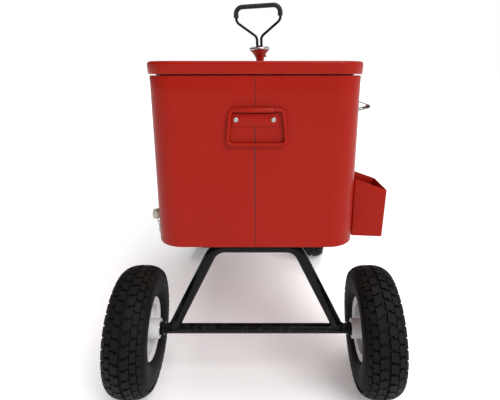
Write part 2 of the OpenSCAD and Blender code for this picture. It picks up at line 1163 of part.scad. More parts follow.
shell_half(-1);  // shell_left
shell_half(1);  // shell_right
bottom_pan();
body_foam();
inner_liner();
rim_gasket();
drain_spout();
drain_cap();
drain_chain();
chain_anchor();
bottle_opener();
bin_hanger();
catch_bin();
wall_screws();
lid_shell();
lid_foam();
lid_liner();
hinge_body_leaves();
hinge_lid_leaves();
hinge_pins();
lid_screws();
handle_straps();
handle_rivets();
bail(-1);  // rear_bail
bail(1);  // front_bail
deck_rails();
deck_bolts();
rear_frame();
rear_axle_tube();
rear_axle();
rear_axle_hardware();
turntable_plate();
thrust_washer();
kingpin();
kingpin_nut();
steering_plate();
front_frame();
front_axle_tube();
front_axle();
front_axle_hardware();
drawbar();
tongue_pin();
tongue_tube();
tongue_flare();
flare_cap();
tongue_screw();
handle_loop();
handle_grip();
for (front = [false, true], side = [-1, 1]) {
    corner = str(front ? "front_" : "rear_", side < 0 ? "left" : "right");
    tyre(front, side);
    rim(front, side);
    bearings(front, side);
}
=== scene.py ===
import json
import math
import bmesh
import bpy
from mathutils import Matrix, Vector

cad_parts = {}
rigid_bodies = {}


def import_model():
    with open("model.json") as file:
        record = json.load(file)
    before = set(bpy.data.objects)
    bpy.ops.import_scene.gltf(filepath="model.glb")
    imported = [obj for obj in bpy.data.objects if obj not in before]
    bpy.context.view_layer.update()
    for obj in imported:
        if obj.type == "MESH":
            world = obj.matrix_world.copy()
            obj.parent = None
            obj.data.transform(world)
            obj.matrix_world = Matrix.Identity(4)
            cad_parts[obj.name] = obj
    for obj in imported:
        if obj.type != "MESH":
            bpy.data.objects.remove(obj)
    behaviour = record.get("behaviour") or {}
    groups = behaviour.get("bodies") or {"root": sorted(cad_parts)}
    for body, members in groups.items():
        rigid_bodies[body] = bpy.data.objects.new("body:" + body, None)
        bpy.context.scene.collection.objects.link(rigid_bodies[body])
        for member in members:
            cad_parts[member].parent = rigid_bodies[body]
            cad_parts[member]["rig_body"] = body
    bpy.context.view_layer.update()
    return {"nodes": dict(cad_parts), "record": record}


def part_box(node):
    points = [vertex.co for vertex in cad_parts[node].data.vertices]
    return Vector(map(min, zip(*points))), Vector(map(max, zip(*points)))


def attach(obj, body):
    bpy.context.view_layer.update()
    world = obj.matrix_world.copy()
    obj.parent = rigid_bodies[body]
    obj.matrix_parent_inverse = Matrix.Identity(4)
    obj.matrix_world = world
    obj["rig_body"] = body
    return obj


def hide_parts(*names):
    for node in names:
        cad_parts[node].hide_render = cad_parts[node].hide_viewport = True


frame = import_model()
scene = bpy.context.scene


def middleOf(node):
    low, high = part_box(node)
    return (low + high) / 2


# Driving sizes; the places among them are taken from the frame
shellLow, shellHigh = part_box("shell_left")
lidLow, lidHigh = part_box("lid_shell")
axleMid = middleOf("rear_axle")
kingMid = middleOf("kingpin")
wagon = {
    "sideLean": math.radians(2.26),
    "endLean": math.radians(1.15),
    "corner": 0.057,
    "lidCorner": 0.0615,
    "sheet": 0.0012,
    "foam": 0.022,
    "steerRest": math.radians(-10),
    "halfWidth": -shellLow.x,
    "halfLength": (shellHigh.y - shellLow.y) / 2,
    "middleY": (shellHigh.y + shellLow.y) / 2,
    "bodyTop": shellHigh.z,
    "bodyLow": shellLow.z,
    "lidLow": lidLow.z,
    "lidTop": lidHigh.z,
    "axleZ": axleMid.z,
    "rearY": axleMid.y,
    "kingY": kingMid.y,
}


def halfWidthAt(z):
    return wagon["halfWidth"] - math.tan(wagon["sideLean"]) * (wagon["bodyTop"] - z)


def halfLengthAt(z):
    return wagon["halfLength"] - math.tan(wagon["endLean"]) * (wagon["bodyTop"] - z)


# Local frames: +X out of a long wall, -Y out of an end wall, +Z up
def wallPlace(side, y, z):
    flip = Matrix.Scale(-1, 4, (1, 0, 0)) if side < 0 else Matrix.Identity(4)
    lean = Matrix.Rotation(wagon["sideLean"], 4, "Y")
    return flip @ Matrix.Translation((halfWidthAt(z), y, z)) @ lean


steeredPlace = Matrix.Translation((0, wagon["kingY"], 0)) @ Matrix.Rotation(wagon["steerRest"], 4, "Z")


def tonguePlace(sideways=math.radians(-2.2)):
    return (steeredPlace @ Matrix.Translation((0, 0.165, wagon["axleZ"] + 0.001))
            @ Matrix.Rotation(math.radians(2.5), 4, "X") @ Matrix.Rotation(sideways, 4, "Y"))


# Shapes are (points, faces) pairs, so that one piece can hold several
def loft(rings, wrap=False, closedRing=True, capped=True):
    size = len(rings[0])
    points = [p for ring in rings for p in ring]
    faces = []
    for i in range(len(rings) if wrap else len(rings) - 1):
        a, b = i * size, ((i + 1) % len(rings)) * size
        for k in range(size if closedRing else size - 1):
            n = (k + 1) % size
            faces.append([a + k, a + n, b + n, b + k])
    if capped and not wrap:
        faces += [list(range(size))[::-1], [(len(rings) - 1) * size + k for k in range(size)]]
    if wrap and not closedRing:
        faces += [[i * size for i in range(len(rings))][::-1],
                  [i * size + size - 1 for i in range(len(rings))]]
    return points, faces


def lathe(profile, sides=96, axis="X", closed=True):
    # profile points are (radius, along); a radius of nought makes a pole
    rings = []
    for step in range(sides):
        turn = math.tau * step / sides
        c, s = math.cos(turn), math.sin(turn)
        rings.append([Vector((a, r * c, r * s)) if axis == "X" else Vector((r * c, r * s, a))
                      for r, a in profile])
    return loft(rings, wrap=True, closedRing=closed, capped=False) if closed else loftOpen(rings)


def loftOpen(rings):
    size = len(rings[0])
    points = [p for ring in rings for p in ring]
    faces = []
    for i in range(len(rings)):
        a, b = i * size, ((i + 1) % len(rings)) * size
        faces += [[a + k, a + k + 1, b + k + 1, b + k] for k in range(size - 1)]
    return points, faces


def roundPath(corners, bend, steps=10, closed=False):
    # line through corner points, with an arc in place of each inner corner
    corners = [Vector(c) for c in corners]
    count = len(corners)
    path = []
    for i, here in enumerate(corners):
        if not closed and i in (0, count - 1):
            path.append(here)
            continue
        before, after = corners[i - 1] - here, corners[(i + 1) % count] - here
        before.normalize()
        after.normalize()
        half = before.angle(after) / 2
        cut = bend / math.tan(half)
        middle = here + (before + after).normalized() * (bend / math.sin(half))
        start, end = here + before * cut - middle, here + after * cut - middle
        whole = start.angle(end)
        for step in range(steps + 1):
            share = step / steps
            path.append(middle + (start * math.sin((1 - share) * whole) + end * math.sin(share * whole))
                        / math.sin(whole))
    return path


def tube(path, radius, normal, sides=24, closed=False, rounded=0.0):
    # path lies in the plane of the given normal; radius is one number or one for each point
    path = [Vector(p) for p in path]
    normal = Vector(normal).normalized()
    radii = list(radius) if isinstance(radius, (list, tuple)) else [radius] * len(path)
    if rounded and not closed:
        first, last = (path[0] - path[1]).normalized(), (path[-1] - path[-2]).normalized()
        path = [path[0], path[0] - first * rounded] + path[1:-1] + [path[-1] - last * rounded, path[-1]]
        radii = [radii[0] - rounded, radii[0]] + radii[1:-1] + [radii[-1], radii[-1] - rounded]
    rings = []
    for i, here in enumerate(path):
        if closed:
            along = path[(i + 1) % len(path)] - path[i - 1]
        else:
            along = path[min(i + 1, len(path) - 1)] - path[max(i - 1, 0)]
        across = normal.cross(along.normalized())
        rings.append([here + radii[i] * (math.cos(math.tau * k / sides) * across
                                         + math.sin(math.tau * k / sides) * normal)
                      for k in range(sides)])
    return loft(rings, wrap=closed)


def slab(low, high):
    corners = [Vector((x, y, z)) for z in (low[2], high[2])
               for x, y in ((low[0], low[1]), (high[0], low[1]), (high[0], high[1]), (low[0], high[1]))]
    return loft([corners[:4], corners[4:]])


def plate(outline, start, end, axis="Y"):
    # flat outline pushed along an axis
    def at(a, b, t):
        return {"X": (t, a, b), "Y": (a, t, b), "Z": (a, b, t)}[axis]
    return loft([[Vector(at(a, b, t)) for a, b in outline] for t in (start, end)])


def moved(shape, place):
    return [place @ Vector(p) for p in shape[0]], shape[1]


def roundedOutline(width, height, corner, steps=5):
    outline = []
    for quarter, (sx, sy) in enumerate(((1, 1), (-1, 1), (-1, -1), (1, -1))):
        for step in range(steps + 1):
            turn = math.pi / 2 * (quarter + step / steps)
            outline.append((sx * (width / 2 - corner) + corner * math.cos(turn),
                            sy * (height / 2 - corner) + corner * math.sin(turn)))
    return outline


def blockRing(halfX, halfY, corner, z, part="full", gap=0.0, steps=12):
    # rounded rectangle at a height; a half runs from end wall to end wall round one long side
    corner = max(corner, 0.002)
    ring = [Vector((x, y + wagon["middleY"], z))
            for x, y in roundedOutline(2 * halfX, 2 * halfY, corner, steps)]
    if part == "full":
        return ring
    side = 1 if part == "right" else -1
    half = sorted((p for p in ring if p.x * side > 0),
                  key=lambda p: math.atan2(p.y - wagon["middleY"], side * p.x))
    ends = [Vector((side * gap, wagon["middleY"] + sy * halfY, z)) for sy in (-1, 1)]
    return [ends[0], *half, ends[1]]


def bodyRing(inset, z, part="full", gap=0.0):
    return blockRing(halfWidthAt(z) - inset, halfLengthAt(z) - inset, wagon["corner"] - inset, z, part, gap)


def lidRing(inset, z):
    wide = wagon["halfWidth"] + wagon["lidCorner"] - wagon["corner"]
    long = wagon["halfLength"] + wagon["lidCorner"] - wagon["corner"]
    return blockRing(wide - inset, long - inset, wagon["lidCorner"] - inset, z)


def makePiece(name, shapes, look, body, nodes=(), place=None, bevel=0.0, sharp=35):
    mesh = bpy.data.meshes.new(name)
    points, faces = [], []
    for shapePoints, shapeFaces in shapes:
        start = len(points)
        points += [place @ p for p in shapePoints] if place else list(shapePoints)
        faces += [[start + k for k in face] for face in shapeFaces]
    mesh.from_pydata([tuple(p) for p in points], [], faces)
    return finishPiece(name, mesh, look, body, nodes, bevel, sharp)


def finishPiece(name, mesh, look, body, nodes=(), bevel=0.0, sharp=35):
    work = bmesh.new()
    work.from_mesh(mesh)
    bmesh.ops.remove_doubles(work, verts=work.verts, dist=2e-6)
    bmesh.ops.dissolve_degenerate(work, edges=work.edges, dist=1e-7)
    bmesh.ops.recalc_face_normals(work, faces=work.faces)
    work.to_mesh(mesh)
    work.free()
    piece = bpy.data.objects.new(name, mesh)
    scene.collection.objects.link(piece)
    if bevel:
        edge = piece.modifiers.new("softEdges", "BEVEL")
        edge.width, edge.segments = bevel, 2
        edge.limit_method, edge.angle_limit = "ANGLE", math.radians(40)
        bake(piece)
    piece.data.shade_smooth()
    piece.data.set_sharp_from_angle(angle=math.radians(sharp))
    piece.data.materials.clear()
    piece.data.materials.append(look)
    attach(piece, body)
    if nodes:
        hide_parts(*nodes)
    return piece


def bake(piece):
    # modifiers are turned into a plain mesh
    bpy.context.view_layer.update()
    done = bpy.data.meshes.new_from_object(piece.evaluated_get(bpy.context.evaluated_depsgraph_get()))
    piece.modifiers.clear()
    piece.data = done
    return piece


def softened(node, name, look, bevel=0.0004):
    # a CAD part with its edges eased
    source = frame["nodes"][node]
    work = bmesh.new()
    work.from_mesh(source.data)
    bmesh.ops.remove_doubles(work, verts=work.verts, dist=1e-5)
    bmesh.ops.dissolve_limit(work, angle_limit=math.radians(1), verts=work.verts, edges=work.edges)
    mesh = bpy.data.meshes.new(name)
    work.to_mesh(mesh)
    work.free()
    return finishPiece(name, mesh, look, source["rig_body"], (node,), bevel)


print("frame and shape tools ready")

# Surface effects shared by several finishes


def newGroup(name, inputs, outputs):
    group = bpy.data.node_groups.new(name, "ShaderNodeTree")
    for label, kind, value in inputs:
        socket = group.interface.new_socket(name=label, in_out="INPUT", socket_type=kind)
        if value is not None:
            socket.default_value = value
    for label, kind in outputs:
        group.interface.new_socket(name=label, in_out="OUTPUT", socket_type=kind)
    return group, group.nodes.new("NodeGroupInput"), group.nodes.new("NodeGroupOutput")


def noise(tree, scale, detail=4.0, rough=0.55, vector=None):
    node = tree.nodes.new("ShaderNodeTexNoise")
    node.inputs["Detail"].default_value = detail
    node.inputs["Roughness"].default_value = rough
    if hasattr(scale, "is_linked"):
        tree.links.new(scale, node.inputs["Scale"])
    else:
        node.inputs["Scale"].default_value = scale
    if vector:
        tree.links.new(vector, node.inputs["Vector"])
    return node.outputs["Fac"]


def ramp(tree, value, low, high, to=(0.0, 1.0)):
    node = tree.nodes.new("ShaderNodeMapRange")
    node.inputs["From Min"].default_value = low
    node.inputs["From Max"].default_value = high
    node.inputs["To Min"].default_value = to[0]
    node.inputs["To Max"].default_value = to[1]
    tree.links.new(value, node.inputs["Value"])
    return node.outputs["Result"]


def maths(tree, operation, a, b):
    node = tree.nodes.new("ShaderNodeMath")
    node.operation = operation
    node.use_clamp = operation != "SUBTRACT"
    for socket, value in zip(node.inputs, (a, b)):
        if hasattr(value, "is_linked"):
            tree.links.new(value, socket)
        else:
            socket.default_value = value
    return node.outputs[0]


def mixed(tree, share, a, b):
    node = tree.nodes.new("ShaderNodeMix")
    node.data_type = "RGBA"
    for socket, value in ((node.inputs["Factor"], share), (node.inputs["A"], a), (node.inputs["B"], b)):
        if hasattr(value, "is_linked"):
            tree.links.new(value, socket)
        else:
            socket.default_value = value
    return node.outputs["Result"]


def buildEdgeWear():
    group, start, end = newGroup("edgeWear", [("Scale", "NodeSocketFloat", 60.0),
                                              ("Amount", "NodeSocketFloat", 0.5)],
                                 [("Mask", "NodeSocketFloat")])
    shape = group.nodes.new("ShaderNodeNewGeometry")
    place = group.nodes.new("ShaderNodeTexCoord")
    edge = ramp(group, shape.outputs["Pointiness"], 0.53, 0.60)
    speckle = ramp(group, noise(group, start.outputs["Scale"], 6.0, 0.7, place.outputs["Object"]), 0.50, 0.62)
    worn = maths(group, "MULTIPLY", maths(group, "MULTIPLY", edge, speckle), start.outputs["Amount"])
    group.links.new(worn, end.inputs["Mask"])
    return group


def buildDust():
    # settles on faces that look up, broken up by noise
    group, start, end = newGroup("settledDust", [("Scale", "NodeSocketFloat", 12.0),
                                                 ("Amount", "NodeSocketFloat", 0.3)],
                                 [("Mask", "NodeSocketFloat")])
    shape = group.nodes.new("ShaderNodeNewGeometry")
    place = group.nodes.new("ShaderNodeTexCoord")
    split = group.nodes.new("ShaderNodeSeparateXYZ")
    group.links.new(shape.outputs["Normal"], split.inputs["Vector"])
    upward = ramp(group, split.outputs["Z"], -0.1, 0.9)
    cloud = ramp(group, noise(group, start.outputs["Scale"], 7.0, 0.6, place.outputs["Object"]), 0.38, 0.68)
    settled = maths(group, "MULTIPLY", upward, cloud)
    group.links.new(maths(group, "MULTIPLY", settled, start.outputs["Amount"]), end.inputs["Mask"])
    return group


def buildGrain():
    # broad cloudy variation and a fine height for bumps
    group, start, end = newGroup("surfaceGrain", [("Coarse", "NodeSocketFloat", 6.0),
                                                  ("Fine", "NodeSocketFloat", 900.0)],
                                 [("Cloud", "NodeSocketFloat"), ("Height", "NodeSocketFloat")])
    place = group.nodes.new("ShaderNodeTexCoord")
    group.links.new(noise(group, start.outputs["Coarse"], 5.0, 0.6, place.outputs["Object"]),
                    end.inputs["Cloud"])
    group.links.new(noise(group, start.outputs["Fine"], 2.0, 0.5, place.outputs["Object"]),
                    end.inputs["Height"])
    return group


effects = {"wear": buildEdgeWear(), "dust": buildDust(), "grain": buildGrain()}


def effect(tree, kind, **values):
    node = tree.nodes.new("ShaderNodeGroup")
    node.node_tree = effects[kind]
    for label, value in values.items():
        node.inputs[label].default_value = value
    return node


def buildFinish(name, v):
    look = bpy.data.materials.new(name)
    look.use_nodes = True
    tree = look.node_tree
    shader = tree.nodes["Principled BSDF"]
    grain = effect(tree, "grain", Coarse=v.get("coarse", 6.0), Fine=v.get("fine", 900.0))
    shift = ramp(tree, grain.outputs["Cloud"], 0.3, 0.7)
    colour = mixed(tree, shift, (*v["dark"], 1), (*v["light"], 1))
    spread = v.get("roughSpread", 0.06)
    rough = ramp(tree, grain.outputs["Cloud"], 0.3, 0.7, (v["rough"] - spread, v["rough"] + spread))
    shader.inputs["Metallic"].default_value = v.get("metal", 0.0)
    if v.get("dust"):
        dust = effect(tree, "dust", Scale=v.get("dustScale", 14.0), Amount=v["dust"]).outputs["Mask"]
        colour = mixed(tree, dust, colour, (*v.get("dustColour", (0.30, 0.25, 0.20)), 1))
        rough = maths(tree, "ADD", rough, maths(tree, "MULTIPLY", dust, 0.5))
    if v.get("wear"):
        worn = effect(tree, "wear", Scale=v.get("wearScale", 70.0), Amount=v["wear"]).outputs["Mask"]
        colour = mixed(tree, worn, colour, (*v.get("wearColour", (0.42, 0.40, 0.38)), 1))
        if not v.get("metal"):
            tree.links.new(maths(tree, "MULTIPLY", worn, v.get("wearMetal", 0.8)), shader.inputs["Metallic"])
    tree.links.new(colour, shader.inputs["Base Color"])
    tree.links.new(rough, shader.inputs["Roughness"])
    shader.inputs["Coat Weight"].default_value = v.get("coat", 0.0)
    shader.inputs["Coat Roughness"].default_value = v.get("coatRough", 0.06)
    shader.inputs["Specular IOR Level"].default_value = v.get("specular", 0.5)
    shader.inputs["Sheen Weight"].default_value = v.get("sheen", 0.0)
    height = grain.outputs["Height"]
    if v.get("brushed"):
        place = tree.nodes.new("ShaderNodeTexCoord")
        stretch = tree.nodes.new("ShaderNodeMapping")
        stretch.inputs["Scale"].default_value = v["brushed"]
        tree.links.new(place.outputs["Object"], stretch.inputs["Vector"])
        height = noise(tree, 1.0, 3.0, 0.5, stretch.outputs["Vector"])
    bump = tree.nodes.new("ShaderNodeBump")
    bump.inputs["Strength"].default_value = v.get("bump", 0.1)
    bump.inputs["Distance"].default_value = v.get("depth", 0.0002)
    tree.links.new(height, bump.inputs["Height"])
    tree.links.new(bump.outputs["Normal"], shader.inputs["Normal"])
    return look


finishes = {
    "redPaint": dict(dark=(0.310, 0.0085, 0.0024), light=(0.345, 0.0100, 0.0032), rough=0.38, coat=0.06,
                     coatRough=0.08, specular=0.10, coarse=3.5, fine=420.0, bump=0.12, depth=0.00012,
                     wear=0.15, wearScale=45.0, wearColour=(0.30, 0.10, 0.07), wearMetal=0.2, dust=0.02,
                     dustScale=9.0, dustColour=(0.42, 0.20, 0.16), roughSpread=0.05),
    "blackPaint": dict(dark=(0.0014, 0.0016, 0.0022), light=(0.0022, 0.0024, 0.0032), rough=0.26, coat=0.05,
                       coatRough=0.12, coarse=9.0, fine=500.0, bump=0.12, depth=0.00012, wear=0.15,
                       wearScale=60.0, wearColour=(0.16, 0.155, 0.15), dust=0.02, dustScale=18.0,
                       dustColour=(0.09, 0.085, 0.08), specular=0.12),
    "zincSteel": dict(dark=(0.42, 0.42, 0.41), light=(0.62, 0.62, 0.61), rough=0.34, metal=1.0, coarse=180.0,
                      fine=1500.0, bump=0.15, depth=0.0001, roughSpread=0.12),
    "chromeSteel": dict(dark=(0.44, 0.42, 0.41), light=(0.58, 0.56, 0.55), rough=0.20, metal=1.0, coarse=30.0,
                        fine=1200.0, bump=0.04, depth=0.0001, roughSpread=0.05),
    "axleSteel": dict(dark=(0.20, 0.19, 0.185), light=(0.36, 0.345, 0.33), rough=0.38, metal=1.0, coarse=40.0,
                      brushed=(60.0, 900.0, 900.0), bump=0.2, depth=0.0001, roughSpread=0.12),
    # On the tyre the brown dust mask on upward faces is partly dust and partly a painted brownish sheen along
    # the top of the tyre
    "tyreRubber": dict(dark=(0.0026, 0.0034, 0.0040), light=(0.0050, 0.0054, 0.0058), rough=0.62, coarse=10.0,
                       fine=700.0, bump=0.35, depth=0.0003, dust=0.14, dustScale=22.0,
                       dustColour=(0.080, 0.052, 0.034), specular=0.12, roughSpread=0.1),
    "sealRubber": dict(dark=(0.010, 0.010, 0.011), light=(0.020, 0.020, 0.021), rough=0.6, coarse=20.0,
                       fine=900.0, bump=0.2),
    "whitePaint": dict(dark=(0.62, 0.62, 0.63), light=(0.74, 0.74, 0.74), rough=0.34, coat=0.3, coarse=12.0,
                       fine=500.0, bump=0.12, wear=0.25, wearColour=(0.30, 0.28, 0.26), dust=0.10,
                       dustScale=20.0, dustColour=(0.36, 0.33, 0.29)),
    "whitePlastic": dict(dark=(0.70, 0.70, 0.69), light=(0.80, 0.80, 0.79), rough=0.38, coarse=8.0,
                         fine=1400.0, bump=0.12, depth=0.0001),
    "palefoam": dict(dark=(0.62, 0.55, 0.36), light=(0.76, 0.70, 0.50), rough=0.9, coarse=40.0, fine=600.0,
                     bump=0.6, depth=0.0006),
    "ivoryPlastic": dict(dark=(0.50, 0.46, 0.37), light=(0.62, 0.58, 0.49), rough=0.46, coarse=60.0,
                         fine=1200.0, bump=0.15, depth=0.0001, dust=0.25, dustColour=(0.30, 0.25, 0.18)),
    "blackPlastic": dict(dark=(0.012, 0.012, 0.013), light=(0.022, 0.022, 0.024), rough=0.45, coarse=30.0,
                         fine=1200.0, bump=0.15),
    "gripFoam": dict(dark=(0.0052, 0.0042, 0.0082), light=(0.0088, 0.0072, 0.0130), rough=0.7, coarse=60.0,
                     fine=1500.0, bump=0.6, depth=0.0004, sheen=0.02, dust=0.12,
                     dustColour=(0.06, 0.055, 0.06)),
    "rustySteel": dict(dark=(0.10, 0.045, 0.022), light=(0.26, 0.17, 0.12), rough=0.62, metal=0.5,
                       coarse=400.0, fine=1500.0, bump=0.5, depth=0.0003, roughSpread=0.15),
}
looks = {name: buildFinish(name, values) for name, values in finishes.items()}
slotLooks = {
    "red_paint": "redPaint", "black_paint": "blackPaint", "zinc_steel": "zincSteel",
    "chrome_steel": "chromeSteel", "axle_steel": "axleSteel", "tyre_rubber": "tyreRubber",
    "seal_rubber": "sealRubber", "white_rim_paint": "whitePaint", "white_plastic": "whitePlastic",
    "foam": "palefoam", "ivory_plastic": "ivoryPlastic", "black_plastic": "blackPlastic",
    "grip_foam": "gripFoam", "rust_screw": "rustySteel",
}
for part in frame["record"]["subparts"]:
    name = part.get("node") or part["name"]
    node = frame["nodes"][name]
    node.data.materials.clear()
    node.data.materials.append(looks[slotLooks[part.get("material_slot") or part["slot"]]])
print("finishes ready:", len(looks))

# Box walls, floor pan and tub

wall = {"seamGap": 0.00035, "hem": 0.0026, "hemReturn": 0.010, "topFold": 0.0010, "lipWidth": 0.0007,
        "lipDeep": 0.0005}


def wallProfile():
    # closed outline of the folded sheet as (inset, height)
    low, top, sheet = wagon["bodyLow"], wagon["bodyTop"], wagon["sheet"]
    hem, fold = wall["hem"], wall["topFold"]
    outer = [(hem * (1 - math.cos(t)), low + hem * (1 - math.sin(t)))
             for t in (math.pi / 2 * (1 - k / 6) for k in range(7))]
    crown = [(fold * (1 - math.cos(t)), top - fold * (1 - math.sin(t)))
             for t in (math.pi / 2 * k / 4 for k in range(5))]
    inside = [(sheet, top - fold), (sheet, low + hem), (hem, low + sheet), (wall["hemReturn"], low + sheet),
              (wall["hemReturn"], low)]
    levels = [(0.0, low + hem + (top - fold - low - hem) * k / 8) for k in range(1, 8)]
    return outer + levels + crown + inside


for part in ("left", "right"):
    side = 1 if part == "right" else -1
    rings = []
    for inset, z in wallProfile():
        outside = inset == 0.0
        ring = bodyRing(inset, z, part, wall["seamGap"] + (wall["lipWidth"] if outside else 0.0))
        near, far = ring[0], ring[-1]
        flats = [[Vector((side * (wall["seamGap"] + share * wall["lipWidth"]), end.y, z))
                  for share in (2.2, 4.0)]
                 for end in (near, far)]
        if outside:
            # the seam edge turns in slightly, which draws the line down the end walls
            near.y += wall["lipDeep"]
            far.y -= wall["lipDeep"]
        rings.append([near, *flats[0], *ring[1:-1], *flats[1][::-1], far])
    makePiece("shell-" + part, [loft(rings, wrap=True, closedRing=False)], looks["redPaint"], "box",
              ("shell_" + part,), sharp=50)

# Near-black strips set just inside the seam gaps on the end walls: painted shade, a dark sheet that stands in
# for the shade inside the seam between the two halves
shadeStrip = {"half": 0.0030, "front": 0.0006, "back": 0.0011}
seamShadeStrips = []
for side in (-1, 1):
    ends = []
    for z in (wagon["bodyLow"] + 0.004, wagon["bodyTop"] - 0.0012):
        y = [wagon["middleY"] + side * (halfLengthAt(z) - shadeStrip[depth]) for depth in ("front", "back")]
        ends.append([Vector((-shadeStrip["half"], y[0], z)), Vector((shadeStrip["half"], y[0], z)),
                     Vector((shadeStrip["half"], y[1], z)), Vector((-shadeStrip["half"], y[1], z))])
    seamShadeStrips.append(loft(ends))
makePiece("seam-strips", seamShadeStrips, looks["sealRubber"], "box", ())

pan = {"inset": 0.0016, "thick": 0.0008}
panLow = wagon["bodyLow"] + 0.0013
makePiece("floor-pan", [loft([bodyRing(pan["inset"], panLow),
                              bodyRing(pan["inset"], panLow + pan["thick"])])],
          looks["redPaint"], "box", ("bottom_pan",), bevel=0.0002)

tub = {"thick": 0.002, "fillet": 0.018, "lipRound": 0.006}


def tubRings():
    start = wagon["sheet"] + wagon["foam"]
    top, floor = wagon["bodyTop"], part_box("inner_liner")[0].z + tub["thick"]
    inner, fillet, lip = start + tub["thick"], tub["fillet"], tub["lipRound"]
    rings = [(wagon["sheet"], top - 0.0015), (wagon["sheet"], top - 0.0004), (inner - lip, top - 0.0004)]
    rings += [(inner - lip + lip * math.sin(t), top - 0.0004 - lip * (1 - math.cos(t)))
              for t in (math.pi / 2 * k / 5 for k in range(1, 6))]
    rings += [(inner, floor + fillet + (top - 0.0004 - lip - floor - fillet) * share)
              for share in (0.75, 0.5, 0.25)]
    rings += [(inner + fillet * (1 - math.cos(t)), floor + fillet * (1 - math.sin(t)))
              for t in (math.pi / 2 * k / 6 for k in range(7))]
    rings += [(inner + fillet + 0.012, floor - 0.0008), (inner + fillet + 0.018, floor + 0.0008)]
    return [bodyRing(inset, z) for inset, z in rings]


seen = tubRings()
under = [bodyRing(inset, z) for inset, z in (
    (wagon["sheet"] + wagon["foam"] + 0.0195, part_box("inner_liner")[0].z),
    (wagon["sheet"] + wagon["foam"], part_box("inner_liner")[0].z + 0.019),
    (wagon["sheet"] + wagon["foam"], wagon["bodyTop"] - 0.008))]
makePiece("tub-liner", [loft([*under, *seen])], looks["whitePlastic"], "box", ("inner_liner",))

seal = {"width": 0.011, "inset": 0.013}
sealLow, sealTop = wagon["bodyTop"] + 0.0001, wagon["lidLow"] - 0.0003
sealRound = (sealTop - sealLow) / 2
sealInset = wagon["lidCorner"] - wagon["corner"] + seal["inset"]
sealRings = []
for step in range(24):
    turn = math.tau * step / 24
    flat = math.copysign(abs(math.cos(turn)) ** 0.4, math.cos(turn))
    sealRings.append(lidRing(sealInset + seal["width"] / 2 * (1 + flat),
                             sealLow + sealRound * (1 + math.sin(turn))))
makePiece("rim-seal", [loft(sealRings, wrap=True)], looks["sealRubber"], "box", ("rim_gasket",))
print("box made")

# Lid

lid = {"round": 0.0058, "skirtLean": 0.0016, "crown": 0.0006, "rimWidth": 0.030, "panelDrop": 0.0008,
       "hem": 0.0009}


def lidProfile():
    low, top, sheet, edgeRound = wagon["lidLow"], wagon["lidTop"], wagon["sheet"], lid["round"]
    skirt = [(lid["skirtLean"] + lid["hem"], low), (lid["skirtLean"], low + lid["hem"]),
             (lid["skirtLean"] * 0.35, low + (top - low) * 0.4), (0.0, top - edgeRound - 0.001)]
    edge = [(edgeRound * (1 - math.cos(t)), top - lid["crown"] - edgeRound * (1 - math.sin(t)))
            for t in (math.pi / 2 * k / 8 for k in range(9))]
    panel = [(lid["rimWidth"] - 0.006, top - lid["crown"] * 0.4), (lid["rimWidth"], top - lid["crown"] * 0.5),
             (lid["rimWidth"] + 0.003, top - lid["crown"] * 0.5 - lid["panelDrop"]),
             (lid["rimWidth"] + 0.09, top - lid["panelDrop"] * 0.6), (lid["rimWidth"] + 0.15, top - 0.0002)]
    inner = [(inset + sheet * 0.7, z - sheet) for inset, z in (edge + panel)[:-1]]
    foot = [(lid["skirtLean"] + sheet + 0.0006, low + 0.004), (lid["skirtLean"] + sheet + 0.0006, low)]
    return skirt + edge + panel, inner[::-1] + foot


outside, inside = lidProfile()
outsideShape = loft([lidRing(inset, z) for inset, z in outside], capped=False)
insideShape = loft([lidRing(inset, z) for inset, z in inside], capped=False)
size = len(lidRing(0, 0))
outsideShape[1].append([(len(outside) - 1) * size + k for k in range(size)])
insideShape[1].append(list(range(size)))
footA, footB = lidRing(*outside[0]), lidRing(*inside[-1])
makePiece("lid-shell", [outsideShape, insideShape, loft([footA, footB], capped=False)], looks["redPaint"],
          "lid", ("lid_shell",), sharp=50)
makePiece("lid-foam", [loft([lidRing(0.0072, wagon["lidLow"] + 0.0022),
                             lidRing(0.0078, wagon["lidTop"] - 0.0080)])],
          looks["palefoam"], "lid", ("lid_foam",))

plug = {"fillet": 0.004, "deep": 0.013, "edge": 0.0405}
plugRings = [(0.0032, wagon["lidLow"] + 0.0019), (0.0032, wagon["lidLow"] + 0.0003),
             (0.0036, wagon["lidLow"] + 0.00005),
             (plug["edge"] - 0.003, wagon["lidLow"] + 0.00005), (plug["edge"], wagon["lidLow"] - 0.002)]
plugRings += [(plug["edge"] + plug["fillet"] * (1 - math.cos(t)),
               wagon["lidLow"] - plug["deep"] + plug["fillet"] * (1 - math.sin(t)))
              for t in (math.pi / 2 * k / 5 for k in range(6))]
plugRings += [(plug["edge"] + 0.030, wagon["lidLow"] - plug["deep"]),
              (plug["edge"] + 0.033, wagon["lidLow"] - plug["deep"] + 0.0015),
              (plug["edge"] + 0.060, wagon["lidLow"] - plug["deep"] + 0.0015)]
makePiece("lid-liner", [loft([lidRing(inset, z) for inset, z in plugRings])], looks["whitePlastic"], "lid",
          ("lid_liner",))
print("lid made")

# Screws, rivets, links and tread blocks are copied to points by Geometry Nodes


